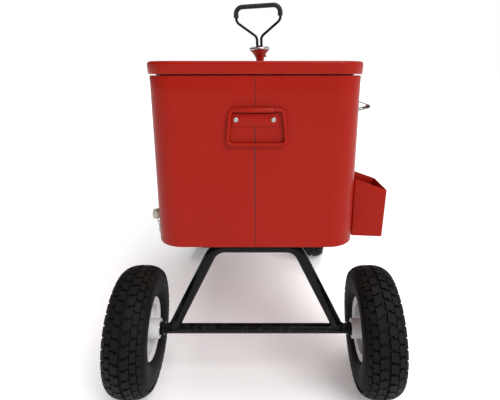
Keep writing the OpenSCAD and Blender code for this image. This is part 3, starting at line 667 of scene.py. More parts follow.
def scatterPiece(name, model, places, look, body, nodes, sizes=(1.0,)):
    # one model is copied to each place, turned as that place is
    cloud = bpy.data.meshes.new(name)
    cloud.from_pydata([tuple(p.translation) for p in places], [], [])
    turns = cloud.attributes.new("turn", "FLOAT_VECTOR", "POINT")
    for item, p in zip(turns.data, places):
        item.vector = tuple(p.to_euler())
    piece = bpy.data.objects.new(name, cloud)
    scene.collection.objects.link(piece)
    tree = bpy.data.node_groups.new(name + "-copies", "GeometryNodeTree")
    tree.interface.new_socket(name="Points", in_out="INPUT", socket_type="NodeSocketGeometry")
    sizeSocket = tree.interface.new_socket(name="Size", in_out="INPUT", socket_type="NodeSocketFloat")
    modelSocket = tree.interface.new_socket(name="Model", in_out="INPUT", socket_type="NodeSocketObject")
    lookSocket = tree.interface.new_socket(name="Finish", in_out="INPUT", socket_type="NodeSocketMaterial")
    tree.interface.new_socket(name="Mesh", in_out="OUTPUT", socket_type="NodeSocketGeometry")
    start, end = tree.nodes.new("NodeGroupInput"), tree.nodes.new("NodeGroupOutput")
    source, copy = tree.nodes.new("GeometryNodeObjectInfo"), tree.nodes.new("GeometryNodeInstanceOnPoints")
    turn = tree.nodes.new("GeometryNodeInputNamedAttribute")
    euler = tree.nodes.new("FunctionNodeEulerToRotation")
    real, paint = tree.nodes.new("GeometryNodeRealizeInstances"), tree.nodes.new("GeometryNodeSetMaterial")
    turn.data_type = "FLOAT_VECTOR"
    turn.inputs["Name"].default_value = "turn"
    link = tree.links.new
    link(start.outputs["Points"], copy.inputs["Points"])
    link(start.outputs["Model"], source.inputs["Object"])
    link(source.outputs["Geometry"], copy.inputs["Instance"])
    link(turn.outputs["Attribute"], euler.inputs["Euler"])
    link(euler.outputs["Rotation"], copy.inputs["Rotation"])
    link(start.outputs["Size"], copy.inputs["Scale"])
    link(copy.outputs["Instances"], real.inputs["Geometry"])
    link(real.outputs["Geometry"], paint.inputs["Geometry"])
    link(start.outputs["Finish"], paint.inputs["Material"])
    link(paint.outputs["Geometry"], end.inputs["Mesh"])
    modifier = piece.modifiers.new("copies", "NODES")
    modifier.node_group = tree
    modifier[sizeSocket.identifier] = sizes[0]
    modifier[modelSocket.identifier] = model
    modifier[lookSocket.identifier] = look
    bake(piece)
    bpy.data.objects.remove(model)
    shade = piece.data
    shade.shade_smooth()
    shade.set_sharp_from_angle(angle=math.radians(35))
    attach(piece, body)
    if nodes:
        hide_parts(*nodes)
    return piece


def modelObject(name, shapes, bevel=0.0):
    mesh = bpy.data.meshes.new(name)
    points, faces = [], []
    for shapePoints, shapeFaces in shapes:
        start = len(points)
        points += [tuple(p) for p in shapePoints]
        faces += [[start + k for k in face] for face in shapeFaces]
    mesh.from_pydata(points, [], faces)
    work = bmesh.new()
    work.from_mesh(mesh)
    bmesh.ops.remove_doubles(work, verts=work.verts, dist=2e-6)
    bmesh.ops.recalc_face_normals(work, faces=work.faces)
    if bevel:
        sharpEdges = [e for e in work.edges
                      if len(e.link_faces) == 2 and e.calc_face_angle() > math.radians(40)]
        bmesh.ops.bevel(work, geom=sharpEdges, offset=bevel, segments=1, affect="EDGES", clamp_overlap=True)
    work.to_mesh(mesh)
    work.free()
    piece = bpy.data.objects.new(name, mesh)
    scene.collection.objects.link(piece)
    return piece


def screwModel():
    # pan head with a cross slot, head out along +X
    head = {"radius": 0.0038, "tall": 0.002, "slot": 0.0009, "reach": 0.0023}
    dome = [(head["radius"], 0.0), (head["radius"], head["tall"] * 0.35),
            (head["radius"] * 0.88, head["tall"] * 0.7),
            (head["reach"], head["tall"] * 0.93), (head["slot"], head["tall"]), (0.0, head["tall"])]
    return modelObject("screwHead", [lathe([(0.0, -0.0005), (head["radius"], -0.0005), *dome[1:]], 24,
                                           closed=False),
                                     slab((head["tall"] * 0.9, -head["reach"], -head["slot"] / 2),
                                          (head["tall"] * 1.0, head["reach"], head["slot"] / 2)),
                                     slab((head["tall"] * 0.9, -head["slot"] / 2, -head["reach"]),
                                          (head["tall"] * 1.0, head["slot"] / 2, head["reach"]))])


middle = middleOf("catch_bin").y
hingeYs = (wagon["middleY"] - 0.230, wagon["middleY"] + 0.230)
boltRow = {"hingeApart": 0.013, "hingeDown": 0.017, "openerApart": 0.026, "hangerApart": 0.032}
binPlace = wallPlace(1, middle, wagon["bodyLow"] - 0.002)
openerPlace = wallPlace(1, middle, 0.611)


def shift(x, y, z):
    return Matrix.Translation((x, y, z))


unmirror = Matrix.Rotation(math.pi, 4, "Z")


def leftWallPlace(y, z):
    # as wallPlace on the left wall, turned round instead of mirrored
    return shift(-halfWidthAt(z), y, z) @ Matrix.Rotation(-wagon["sideLean"], 4, "Y") @ unmirror


wallScrews = [openerPlace @ shift(0.003, 0, z) for z in (-boltRow["openerApart"], boltRow["openerApart"])]
wallScrews += [binPlace @ shift(0.0015, y, z) for y in (-boltRow["hangerApart"], boltRow["hangerApart"])
               for z in (0.050, 0.100)]
for y in hingeYs:
    for dy in (-boltRow["hingeApart"], boltRow["hingeApart"]):
        z = wagon["bodyTop"] - boltRow["hingeDown"]
        wallScrews.append(leftWallPlace(y + dy, z) @ shift(0.0015, 0, 0))
scatterPiece("wall-screws", screwModel(), wallScrews, looks["zincSteel"], "box", ("wall_screws",))
hingeMid = middleOf("hinge_pins")
lidScrews = [shift(hingeMid.x + 0.0035, y + dy, hingeMid.z + 0.015) @ unmirror
             for y in hingeYs for dy in (-boltRow["hingeApart"], boltRow["hingeApart"])]
scatterPiece("lid-screws", screwModel(), lidScrews, looks["zincSteel"], "lid", ("lid_screws",))
softened("hinge_body_leaves", "hinge-leaves-box", looks["zincSteel"], 0.0003)
softened("hinge_lid_leaves", "hinge-leaves-lid", looks["zincSteel"], 0.0003)
softened("hinge_pins", "hinge-pins", looks["axleSteel"], 0.0004)

# End handles: folded strap, tube rivets and the swinging bail

endHandle = {"pivotZ": 0.612, "strapWide": 0.096, "strapLow": 0.5795, "strapHigh": 0.6063, "sheet": 0.0015,
             "rollWide": 0.074, "rodRadius": 0.0036, "out": 0.0052, "rivetX": 0.037, "rivetZ": 0.5925,
             "shift": 0.004, "topHalf": 0.0524, "lowHalf": 0.0579, "drop": 0.068, "bend": 0.010,
             "corner": 0.0035}


def strapShapes(place):
    h = endHandle
    tall = h["strapHigh"] - h["strapLow"]
    flat = [(x, z + (h["strapHigh"] + h["strapLow"]) / 2)
            for x, z in roundedOutline(h["strapWide"], tall, h["corner"], 4)]
    inner = h["rodRadius"] + 0.0001
    outer = inner + h["sheet"]
    turns = [math.radians(230) * k / 20 for k in range(21)]
    roll = [(-h["out"] + outer * math.cos(a), h["pivotZ"] + outer * math.sin(a)) for a in turns]
    back = [(-h["out"] + inner * math.cos(a), h["pivotZ"] + inner * math.sin(a)) for a in turns[::-1]]
    curl = [(0.0, h["strapHigh"] - 0.002), *roll, *back, (-h["sheet"], h["strapHigh"] - 0.002)]
    return [moved(plate(flat, 0.0, -h["sheet"], "Y"), place),
            moved(plate(curl, -h["rollWide"] / 2, h["rollWide"] / 2, "X"), place)]


def rivetModel():
    ring = [(0.0002, -0.0001), (0.0016, -0.0001), (0.0018, -0.0009), (0.0021, -0.0014), (0.0030, -0.0017),
            (0.0040, -0.0015), (0.0048, -0.0008), (0.0050, 0.0), (0.0050, 0.0004)]
    return modelObject("rivetHead", [moved(lathe(ring, 28), Matrix.Rotation(math.pi / 2, 4, "Z"))])


straps, rivets = [], []
for side in (-1, 1):
    z = endHandle["pivotZ"]
    wallY = wagon["middleY"] + side * halfLengthAt(z)
    place = shift(0, wallY, 0) @ (Matrix.Identity(4) if side < 0 else Matrix.Scale(-1, 4, (0, 1, 0)))
    straps += strapShapes(place)
    for x in (-endHandle["rivetX"], endHandle["rivetX"]):
        turn = Matrix.Identity(4) if side < 0 else Matrix.Rotation(math.pi, 4, "Z")
        rivets.append(shift(x, wallY + side * endHandle["sheet"], endHandle["rivetZ"]) @ turn)
    h = endHandle
    loop = roundPath([(-h["topHalf"] + 0.02, 0, 0), (-h["topHalf"], 0, 0), (-h["lowHalf"], 0, -h["drop"]),
                      (h["lowHalf"], 0, -h["drop"]), (h["topHalf"], 0, 0), (h["topHalf"] - 0.02, 0, 0)],
                      h["bend"], 12)
    bail = tube([*loop], h["rodRadius"], (0, 1, 0), 24)
    bar = tube([(-h["topHalf"] + 0.019, 0, 0), (h["topHalf"] - 0.019, 0, 0)], h["rodRadius"], (0, 1, 0), 24)
    name = "rear" if side < 0 else "front"
    makePiece(name + "-bail", [bail, bar], looks["redPaint"], name + "_handle", (name + "_bail",),
              place=shift(h["shift"], wallY + side * h["out"], z))
makePiece("handle-straps", straps, looks["redPaint"], "box", ("handle_straps",), bevel=0.0003)
scatterPiece("handle-rivets", rivetModel(), rivets, looks["zincSteel"], "box", ("handle_rivets",))
print("end handles made")

# Running gear

frameLow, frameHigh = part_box("rear_frame")
legRadius = (frameHigh.y - frameLow.y) / 2
gear = {"tubeRadius": legRadius, "beamRadius": 0.0103, "bend": 0.038, "weld": 0.0022,
        "rear": {"place": shift(0, wagon["rearY"], 0), "barZ": frameHigh.z - legRadius, "barHalf": 0.088,
                 "footHalf": 0.180, "tubeHalf": 0.197},
        "front": {"place": steeredPlace, "barZ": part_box("steering_plate")[0].z - legRadius, "barHalf": 0.065,
                  "footHalf": 0.128, "tubeHalf": 0.148}}


def legShapes(g):
    # one bent tube from foot to foot, with a weld bead where it meets the axle tube
    z = wagon["axleZ"]
    feet = [Vector((sx * g["footHalf"], 0, z)) for sx in (-1, 1)]
    bars = [Vector((sx * g["barHalf"], 0, g["barZ"])) for sx in (-1, 1)]
    shapes = [tube(roundPath([feet[0], bars[0], bars[1], feet[1]], gear["bend"], 14), gear["tubeRadius"],
                   (0, 1, 0), 28)]
    for foot, bar in zip(feet, bars):
        up = (bar - foot).normalized()
        across = Vector((0, 1, 0)).cross(up)
        bead = []
        for k in range(40):
            turn = math.tau * k / 40
            around = math.cos(turn) * across + math.sin(turn) * Vector((0, 1, 0))
            lie = math.sqrt(max(gear["beamRadius"] ** 2 - (gear["tubeRadius"] * math.sin(turn)) ** 2,
                                0.000004)) / up.z
            rise = lie - around.z * gear["tubeRadius"] / up.z + 0.0004 * math.sin(11 * turn)
            bead.append((foot + gear["tubeRadius"] * around + up * rise, around))
        rings = []
        for here, around in bead:
            rings.append([here + gear["weld"] * (math.cos(a) * around + math.sin(a) * up)
                          for a in (math.tau * k / 8 for k in range(8))])
        shapes.append(loft(rings, wrap=True))
    return shapes


def beamProfile(half, radius, bore):
    ease = 0.0012
    return [(bore, -half), (radius - ease, -half), (radius, -half + ease), (radius, half - ease),
            (radius - ease, half), (bore, half)]


makePiece("rear-leg-frame", legShapes(gear["rear"]), looks["blackPaint"], "box", ("rear_frame",),
          place=gear["rear"]["place"])
axleRadius = (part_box("rear_axle")[1].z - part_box("rear_axle")[0].z) / 2
for name, body in (("rear", "box"), ("front", "front_gear")):
    g = gear[name]
    here = g["place"] @ shift(0, 0, wagon["axleZ"])
    makePiece(name + "-axle-tube", [lathe(beamProfile(g["tubeHalf"], gear["beamRadius"], axleRadius), 48)],
              looks["blackPaint"], body, (name + "_axle_tube",), place=here)
    softened(name + "_axle", name + "-axle-rod", looks["axleSteel"], 0.0008)
    softened(name + "_axle_hardware", name + "-axle-washers", looks["blackPaint"], 0.0004)

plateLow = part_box("steering_plate")[0].z
sleeve = {"radius": 0.016, "low": plateLow - 2 * legRadius - 0.003, "high": plateLow, "bore": 0.00805,
          "ease": 0.001}
sleeveShape = lathe([(sleeve["bore"], sleeve["low"]), (sleeve["radius"] - sleeve["ease"], sleeve["low"]),
                     (sleeve["radius"], sleeve["low"] + sleeve["ease"]), (sleeve["radius"], sleeve["high"]),
                     (sleeve["bore"], sleeve["high"])], 48, "Z")
makePiece("front-leg-frame", legShapes(gear["front"]) + [sleeveShape], looks["blackPaint"], "front_gear",
          ("front_frame",), place=gear["front"]["place"])
for node, name, look, slot, ease in (
        ("deck_rails", "deck-rails", "blackPaint", "black_paint", 0.0006),
        ("deck_bolts", "deck-bolts", "zincSteel", "zinc_steel", 0.0005),
        ("turntable_plate", "turntable-upper-plate", "blackPaint", "black_paint", 0.0006),
        ("thrust_washer", "turntable-washer", "blackPlastic", "black_plastic", 0.0003),
        ("steering_plate", "turntable-lower-plate", "blackPaint", "black_paint", 0.0006),
        ("kingpin", "king-bolt", "zincSteel", "zinc_steel", 0.0007),
        ("kingpin_nut", "king-nut", "zincSteel", "zinc_steel", 0.0007),
        ("drawbar", "drawbar", "blackPaint", "black_paint", 0.0009),
        ("tongue_pin", "tongue-pin", "zincSteel", "zinc_steel", 0.0005)):
    softened(node, name, looks[look], ease)
print("running gear made")

# Wheels

tyre = {"radius": 0.130, "half": 0.044, "tread": 0.0052, "middle": 0.092, "square": 0.78,
        "rows": 36, "bead": 0.0628, "blockLift": 0.0046, "blockSink": 0.0030, "blockHalf": 0.0101,
        # each block: middle and half width as angles on the section, lag in pitches, slant and step
        "blocks": ((9.4, 8.2, 0.0, 0.0010, 0.30), (27.3, 8.5, 0.5, -0.0010, 0.26),
                   (45.2, 8.0, 0.0, 0.0, 0.0))}


def carcassPoint(turn, grow=0.0):
    # squarish round section; turn runs from the inner bead over the crown to the outer bead
    high, half = tyre["radius"] - tyre["tread"] - tyre["middle"] + grow, tyre["half"] - 0.0022 + grow
    s, c = math.sin(turn), math.cos(turn)
    square = tyre["square"]
    return Vector((half * math.copysign(abs(c) ** square, c),
                   tyre["middle"] + high * math.copysign(abs(s) ** square, s)))


def tyreProfile():
    start, end = math.radians(-62), math.radians(242)
    points = []
    for k in range(57):
        x, r = carcassPoint(start + (end - start) * k / 56)
        points.append((max(r, tyre["bead"]), x))
    return points + [(tyre["bead"] - 0.004, -0.0277), (tyre["bead"] - 0.004, 0.0277)]


def ribProfile():
    # two moulding ribs on each sidewall
    shapes = []
    for side in (-1, 1):
        for at, width in ((16, 0.0010), (24, 0.0007)):
            turn = math.radians(at)
            x, r = carcassPoint(turn, 0.0)
            ring = [(r + width * math.sin(a), side * (x + 0.0006 * math.cos(a)))
                    for a in (math.tau * k / 8 for k in range(8))]
            shapes.append(lathe(ring, 96))
    return shapes


def blockShape(across, width, around, length, slant, step):
    # one tread block, wrapped on the crown; across is the middle of the block as an angle on the section
    rings = []
    for grow in (-tyre["blockSink"], tyre["blockLift"] * 0.8, tyre["blockLift"]):
        narrow = 1.0 if grow < tyre["blockLift"] * 0.5 else (0.985 if grow < tyre["blockLift"] else 0.93)
        ring = []
        outline = [(-1, -1), (-0.1, -1), (0.1, -1 + step), (1, -1 + step), (1, 0.8), (0.8, 1), (-0.8, 1),
                   (-1, 0.8)]
        for u, v in outline:
            x, r = carcassPoint(across + width * u * narrow, grow)
            turn = around + (length * v * narrow + slant * u) / tyre["radius"]
            ring.append(Vector((x, r * math.sin(turn), r * math.cos(turn))))
        rings.append(ring)
    return loft(rings)


def treadModel():
    # one pitch of the pattern: stepped middle and flank blocks and plain shoulder lugs, on both sides
    shapes = []
    pitch = math.tau / tyre["rows"]
    for side in (-1, 1):
        flip = 1 if side > 0 else -1
        base = math.pi / 2
        lag = 0 if side > 0 else pitch / 2
        for at, width, late, slant, step in tyre["blocks"]:
            shapes.append(blockShape(base - flip * math.radians(at), flip * math.radians(width),
                                     lag + pitch * late, tyre["blockHalf"], slant, step))
    return modelObject("treadPitch", shapes)


rimShape = {"flange": 0.0635, "seat": 0.0508, "well": 0.0445, "dish": 0.0015, "hub": 0.020,
            "hubIn": 0.047, "hubOut": 0.024, "sheet": 0.0019}


def rimShapes():
    v = rimShape
    sheet = v["sheet"]
    shapes = []
    for side in (-1, 1):
        outer = [(v["well"], 0.011), (v["well"] + 0.0008, 0.0135), (v["seat"] - 0.0012, 0.0150),
                 (v["seat"], 0.0172), (v["seat"] + 0.0002, 0.0262), (v["seat"] + 0.0016, 0.0280),
                 (v["flange"] - 0.0016, 0.0290), (v["flange"], 0.0300), (v["flange"] - 0.0006, 0.0310),
                 (v["flange"] - 0.0022, 0.0309), (v["seat"] + 0.0006, 0.0298)]
        inner = [(v["seat"] - 0.0018, 0.0284), (v["seat"] - sheet, 0.0262), (v["seat"] - sheet, 0.0178),
                 (v["well"] - sheet + 0.0006, 0.0150), (v["well"] - sheet, 0.011)]
        shapes.append(lathe([(r, side * x) for r, x in outer + inner], 96))
    shapes.append(lathe([(v["well"] - sheet, -0.0112), (v["well"], -0.0112), (v["well"], 0.0112),
                         (v["well"] - sheet, 0.0112)], 96))
    # dished web between hub and well, with a pressed ring
    web = [(v["hub"] - 0.001, 0.0010), (0.0230, 0.0012), (0.0280, 0.0016), (0.0340, 0.0010), (0.0400, 0.0002),
           (v["well"] - 0.0006, 0.0)]
    shapes.append(lathe([(r, x + v["dish"]) for r, x in web] + [(r, x - v["dish"]) for r, x in web[::-1]],
                        96))
    hub = [(0.0176, -v["hubIn"]), (v["hub"] - 0.0012, -v["hubIn"]), (v["hub"], -v["hubIn"] + 0.0012),
           (v["hub"], -0.0042), (v["hub"] + 0.0022, -0.0016), (v["hub"] + 0.0022, 0.0034), (v["hub"], 0.0060),
           (v["hub"], v["hubOut"] - 0.0012), (v["hub"] - 0.0012, v["hubOut"]), (0.0176, v["hubOut"]),
           (0.0176, v["hubOut"] - 0.011), (0.012, v["hubOut"] - 0.0115), (0.012, -v["hubIn"] + 0.0115),
           (0.0176, -v["hubIn"] + 0.011)]
    shapes.append(lathe(hub, 72))
    return shapes


def bearingShapes():
    shapes = []
    for at, out in ((-rimShape["hubIn"], -1), (rimShape["hubOut"], 1)):
        face = at - out * 0.0004
        back = at - out * 0.0110
        shapes.append(lathe([(0.0174, back), (0.0174, face - out * 0.0003), (0.0171, face), (0.0150, face),
                             (0.0147, face - out * 0.0010), (0.0147, back)], 48))
        shapes.append(lathe([(0.0148, back + out * 0.001), (0.0148, face - out * 0.0014),
                             (0.0108, face - out * 0.0012), (0.0108, back + out * 0.001)], 48))
        shapes.append(lathe([(0.0081, back), (0.0081, face), (0.0104, face), (0.0109, face - out * 0.0010),
                             (0.0109, back)], 48))
    return shapes


def valveShapes():
    # short rubber stem with its cap, on the outer face of the well
    stem = lathe([(0.0, 0.006), (0.0046, 0.006), (0.0050, 0.0075), (0.0040, 0.0090), (0.0036, 0.0170),
                  (0.0042, 0.0172), (0.0042, 0.0240), (0.0032, 0.0262), (0.0, 0.0264)], 20, closed=False)
    return [moved(stem, shift(0, 0, 0.0372) @ Matrix.Rotation(math.radians(-8), 4, "Y"))]


for name in ("rear_left", "rear_right", "front_left", "front_right"):
    side = -1 if "left" in name else 1
    hubMiddle = middleOf(name + "_tyre")
    turned = Matrix.Identity(4) if "rear" in name else Matrix.Rotation(wagon["steerRest"], 4, "Z")
    faceOut = Matrix.Identity(4) if side > 0 else Matrix.Rotation(math.pi, 4, "Z")
    place = Matrix.Translation(hubMiddle) @ turned @ faceOut
    label = name.replace("_", "-")
    body = name + "_wheel"
    makePiece(label + "-tyre", [lathe(tyreProfile(), 144)] + ribProfile(), looks["tyreRubber"], body,
              (name + "_tyre",), place=place, sharp=60)
    pitches = [place @ Matrix.Rotation(math.tau * k / tyre["rows"], 4, "X") for k in range(tyre["rows"])]
    scatterPiece(label + "-tread", treadModel(), pitches, looks["tyreRubber"], body, ())
    makePiece(label + "-rim", rimShapes(), looks["whitePaint"], body, (name + "_rim",),
              place=place)
    makePiece(label + "-bearings", bearingShapes(), looks["zincSteel"], body, (name + "_bearings",),
              place=place)
    makePiece(label + "-valve", valveShapes(), looks["blackPlastic"], body, (), place=place)
print("wheels made")

# Tongue with its trumpet, socket cap, loop and grip

tongue = {"length": 0.645, "radius": 0.014, "wall": 0.0015, "eye": 0.0155, "eyeHalf": 0.0165, "pin": 0.00605,
          "flareTall": 0.045, "flareOut": 0.039, "sheet": 0.0012, "capRadius": 0.040, "capTall": 0.009,
          "lipRadius": 0.0386, "lipTall": 0.004, "rod": 0.0052, "legX": 0.0086, "loopHalf": 0.090,
          "loopTall": 0.174, "bend": 0.027, "grip": 0.0105, "gripLow": 0.131}
upright = tonguePlace()
t = tongue
flareStart = t["length"] - t["flareTall"]
eyeProfile = [(t["pin"], -t["eyeHalf"]), (t["eye"] - 0.001, -t["eyeHalf"]), (t["eye"], -t["eyeHalf"] + 0.001),
              (t["eye"], t["eyeHalf"] - 0.001), (t["eye"] - 0.001, t["eyeHalf"]), (t["pin"], t["eyeHalf"])]
eyeShape = moved(lathe(eyeProfile, 48), tonguePlace(0.0))
neck = 0.012
tubeShape = lathe([(t["radius"] - t["wall"], neck), (t["radius"], neck), (t["radius"], flareStart + 0.006),
                   (t["radius"] - t["wall"], flareStart + 0.006)], 48, "Z")
seamBead = lathe([(t["radius"] - 0.0006 + 0.0016 * math.cos(a), 0.0150 + 0.0018 * math.sin(a))
                  for a in (math.tau * k / 10 for k in range(10))], 48, "Z")
makePiece("tongue-tube", [eyeShape, moved(tubeShape, upright), moved(seamBead, upright)],
          looks["redPaint"], "tongue", ("tongue_tube",))

flare = []
for step in range(25):
    share = step / 24
    flare.append((t["radius"] + (t["flareOut"] - t["radius"]) * share ** 1.9,
                  flareStart + t["flareTall"] * share))
rolled = [(r + t["sheet"], z) for r, z in flare]
makePiece("tongue-trumpet", [lathe(rolled + flare[::-1], 72, "Z")], looks["redPaint"], "tongue",
          ("tongue_flare",), place=upright)

capTop = t["length"] + t["capTall"]
capOutline = [(0.0, t["length"] + 0.0006), (t["capRadius"] - 0.0022, t["length"] + 0.0002),
              (t["capRadius"] - 0.0006, t["length"] + 0.0008),
              (t["capRadius"], t["length"] + 0.0022), (t["capRadius"], capTop - 0.0030),
              (t["capRadius"] - 0.0008, capTop - 0.0010),
              (t["capRadius"] - 0.0022, capTop), (t["lipRadius"] - 0.0026, capTop + 0.0006),
              (t["lipRadius"] - 0.0022, capTop + t["lipTall"] - 0.0010),
              (t["lipRadius"] - 0.0040, capTop + t["lipTall"]), (0.014, capTop + t["lipTall"]),
              (0.0, capTop + t["lipTall"])]
makePiece("socket-cap", [lathe(capOutline, 96, "Z", closed=False)], looks["chromeSteel"], "tongue",
          ("flare_cap",), place=upright)

screwTurn = Matrix.Rotation(math.radians(-25), 4, "Y")
screwPlace = upright @ shift(0, 0, flareStart + 0.008) @ screwTurn
shank = [(0.0, 0.0160), (0.0019, 0.0160)]
for k in range(9):
    shank += [(0.0016, 0.0172 + 0.0009 * k), (0.0020, 0.01765 + 0.0009 * k)]
head = [(0.0040, 0.0250), (0.0040, 0.0268), (0.0034, 0.0282), (0.0020, 0.0289), (0.0, 0.0290)]
makePiece("tongue-screw", [lathe(shank + head, 24, closed=False)], looks["rustySteel"], "tongue",
          ("tongue_screw",), place=screwPlace)

base = t["length"]
loopCorners = [(-t["legX"], 0, base), (-t["legX"], 0, base + 0.052), (-t["loopHalf"], 0, base + 0.115),
               (-t["loopHalf"], 0, base + t["loopTall"]), (t["loopHalf"], 0, base + t["loopTall"]),
               (t["loopHalf"], 0, base + 0.115), (t["legX"], 0, base + 0.052), (t["legX"], 0, base)]
strut = tube([(-t["legX"], 0, base + 0.015), (t["legX"], 0, base + 0.015)], 0.0030, (0, 1, 0), 16)
makePiece("handle-loop", [tube(roundPath(loopCorners, t["bend"], 14), t["rod"], (0, 1, 0), 24), strut],
          looks["blackPaint"], "tongue", ("handle_loop",), place=upright)

gripPath = roundPath([(-t["loopHalf"], 0, base + t["gripLow"]), *loopCorners[3:5],
                      (t["loopHalf"], 0, base + t["gripLow"])], t["bend"], 16)
count = len(gripPath)
gripFine, gripRadii = [], []
for i in range(count - 1):
    pieces = max(1, round((gripPath[i + 1] - gripPath[i]).length / 0.006))
    for k in range(pieces):
        gripFine.append(gripPath[i].lerp(gripPath[i + 1], k / pieces))
gripFine.append(gripPath[-1])
for i in range(len(gripFine)):
    near = min(i, len(gripFine) - 1 - i)
    gripRadii.append(t["grip"] - 0.0010 + 0.0010 * math.exp(-near / 1.5) - 0.0002 * math.cos(i * 1.9))
makePiece("handle-grip", [tube(gripFine, gripRadii, (0, 1, 0), 32, rounded=0.0022)], looks["gripFoam"],
          "tongue", ("handle_grip",), place=upright)
print("tongue made")

# Drain spout, cap and its chain

drainZ = 0.381
drainMiddle = middleOf("drain_cap")
drain = {"bore": 0.0060, "neck": 0.0080, "flange": 0.0120, "flangeTall": 0.0025, "capFlat": 0.0120,
         "capFrom": 0.0048, "capTo": 0.0118, "capRound": 0.0096, "capEnd": 0.0156, "link": 0.010,
         "linkWide": 0.0056, "wire": 0.00075, "step": 0.0074, "first": 0.0196, "ringDrop": 0.003,
         "at": 0.004, "eyeDrop": 0.0395}
d = drain
drainPlace = wallPlace(-1, drainMiddle.y, drainZ)
deep = wagon["sheet"] + wagon["foam"] + 0.002
spout = [(d["bore"], -deep), (d["neck"], -deep), (d["neck"], 0.0), (d["flange"] - 0.0002, 0.0),
         (d["flange"], 0.0006), (d["flange"] - 0.0006, d["flangeTall"] - 0.0008),
         (d["flange"] - 0.0018, d["flangeTall"]), (d["neck"] + 0.0002, d["flangeTall"])]
for k in range(5):
    spout += [(d["neck"] - 0.0006, 0.0032 + 0.0013 * k), (d["neck"], 0.00385 + 0.0013 * k)]
spout += [(d["neck"] - 0.0008, 0.010), (d["bore"], 0.010)]
makePiece("drain-spout", [lathe(spout, 48)], looks["ivoryPlastic"], "box", ("drain_spout",),
          place=drainPlace)


def hexRing(radius, x, eased):
    # hexagon with a vertex down, its corners eased
    ring = []
    for k in range(48):
        turn = math.tau * k / 48
        sector = (turn + math.pi / 6) % (math.pi / 3) - math.pi / 6
        flat = radius * math.cos(math.pi / 6) / math.cos(math.pi / 6 - abs(sector))
        r = min(flat, radius - eased)
        ring.append(Vector((x, r * math.sin(turn), -r * math.cos(turn))))
    return ring


capRings = [hexRing(d["capFlat"] - 0.0010, d["capFrom"], 0.0004),
            hexRing(d["capFlat"], d["capFrom"] + 0.0010, 0.0005),
            hexRing(d["capFlat"], d["capTo"] - 0.0012, 0.0005),
            hexRing(d["capFlat"] - 0.0012, d["capTo"], 0.0006)]
crown = [(d["neck"] + 0.0002, 0.0030), (d["capRound"], 0.0030), (d["capRound"], 0.0050),
         (d["capRound"], d["capEnd"] - 0.0020),
         (d["capRound"] - 0.0006, d["capEnd"] - 0.0006), (d["capRound"] - 0.0020, d["capEnd"]),
         (0.0, d["capEnd"] - 0.0004), (0.0, 0.0106), (d["neck"] + 0.0002, 0.0105)]
ribs = []
for k in range(24):
    turn = math.tau * k / 24
    ribs.append(moved(slab((d["capTo"] - 0.001, -0.0004, d["capRound"] - 0.0006),
                           (d["capEnd"] - 0.0022, 0.0004, d["capRound"] + 0.0004)),
                      Matrix.Rotation(turn, 4, "X")))
makePiece("drain-cap", [loft(capRings), lathe(crown, 48, closed=False), *ribs], looks["ivoryPlastic"],
          "drain_plug", ("drain_cap",), place=drainPlace)


def linkModel():
    half, long = d["linkWide"] / 2 - d["wire"], d["link"] / 2 - d["wire"]
    path = roundPath([(-half, 0, -long), (half, 0, -long), (half, 0, long), (-half, 0, long)], half * 0.98,
                     5, closed=True)
    return modelObject("chainLink", [tube(path, d["wire"], (0, 1, 0), 10, closed=True)])


chainPlace = leftWallPlace(drainMiddle.y, drainZ)
links = [chainPlace @ shift(d["at"] - 0.0004 * i, 0, -d["first"] - d["step"] * i)
         @ Matrix.Rotation(math.pi / 2 * (i % 2), 4, "Z") for i in range(3)]
scatterPiece("drain-chain-links", linkModel(), links, looks["zincSteel"], "box", ("drain_chain",))
ringPath = [(d["at"], 0.014 * math.cos(a), -d["ringDrop"] + 0.014 * math.sin(a))
            for a in (math.tau * k / 48 for k in range(48))]
eyePath = [(d["at"] - 0.0008, 0.0026 * math.cos(a), -d["eyeDrop"] + 0.0026 * math.sin(a))
           for a in (math.tau * k / 24 for k in range(24))]
makePiece("drain-keep-ring", [tube(ringPath, 0.0007, (1, 0, 0), 10, closed=True)], looks["zincSteel"],
          "box", (), place=drainPlace)
anchorHead = lathe([(0.0, 0.0), (0.0036, 0.0), (0.0034, 0.0008), (0.0022, 0.0013), (0.0, 0.0014)], 24,
                   closed=False)
makePiece("chain-eye", [tube(eyePath, 0.0008, (1, 0, 0), 10, closed=True),
                        moved(anchorHead, shift(0, 0, -d["eyeDrop"] - 0.004)),
                        moved(lathe([(0.0, 0.0), (0.0010, 0.0), (0.0010, d["at"] - 0.0008),
                                     (0.0, d["at"] - 0.0008)], 12, closed=False),
                              shift(0, 0, -d["eyeDrop"] - 0.0026))],
          looks["zincSteel"], "box", ("chain_anchor",), place=drainPlace)
print("drain made")

# Opener, cap bin and its hanger

softened("bottle_opener", "bottle-opener", looks["axleSteel"], 0.0004)

capBin = {"back": 0.005, "length": 0.105, "lowOut": 0.073, "highOut": 0.078, "frontTall": 0.104,
          "backTall": 0.127, "sheet": 0.0013, "fold": 0.004}


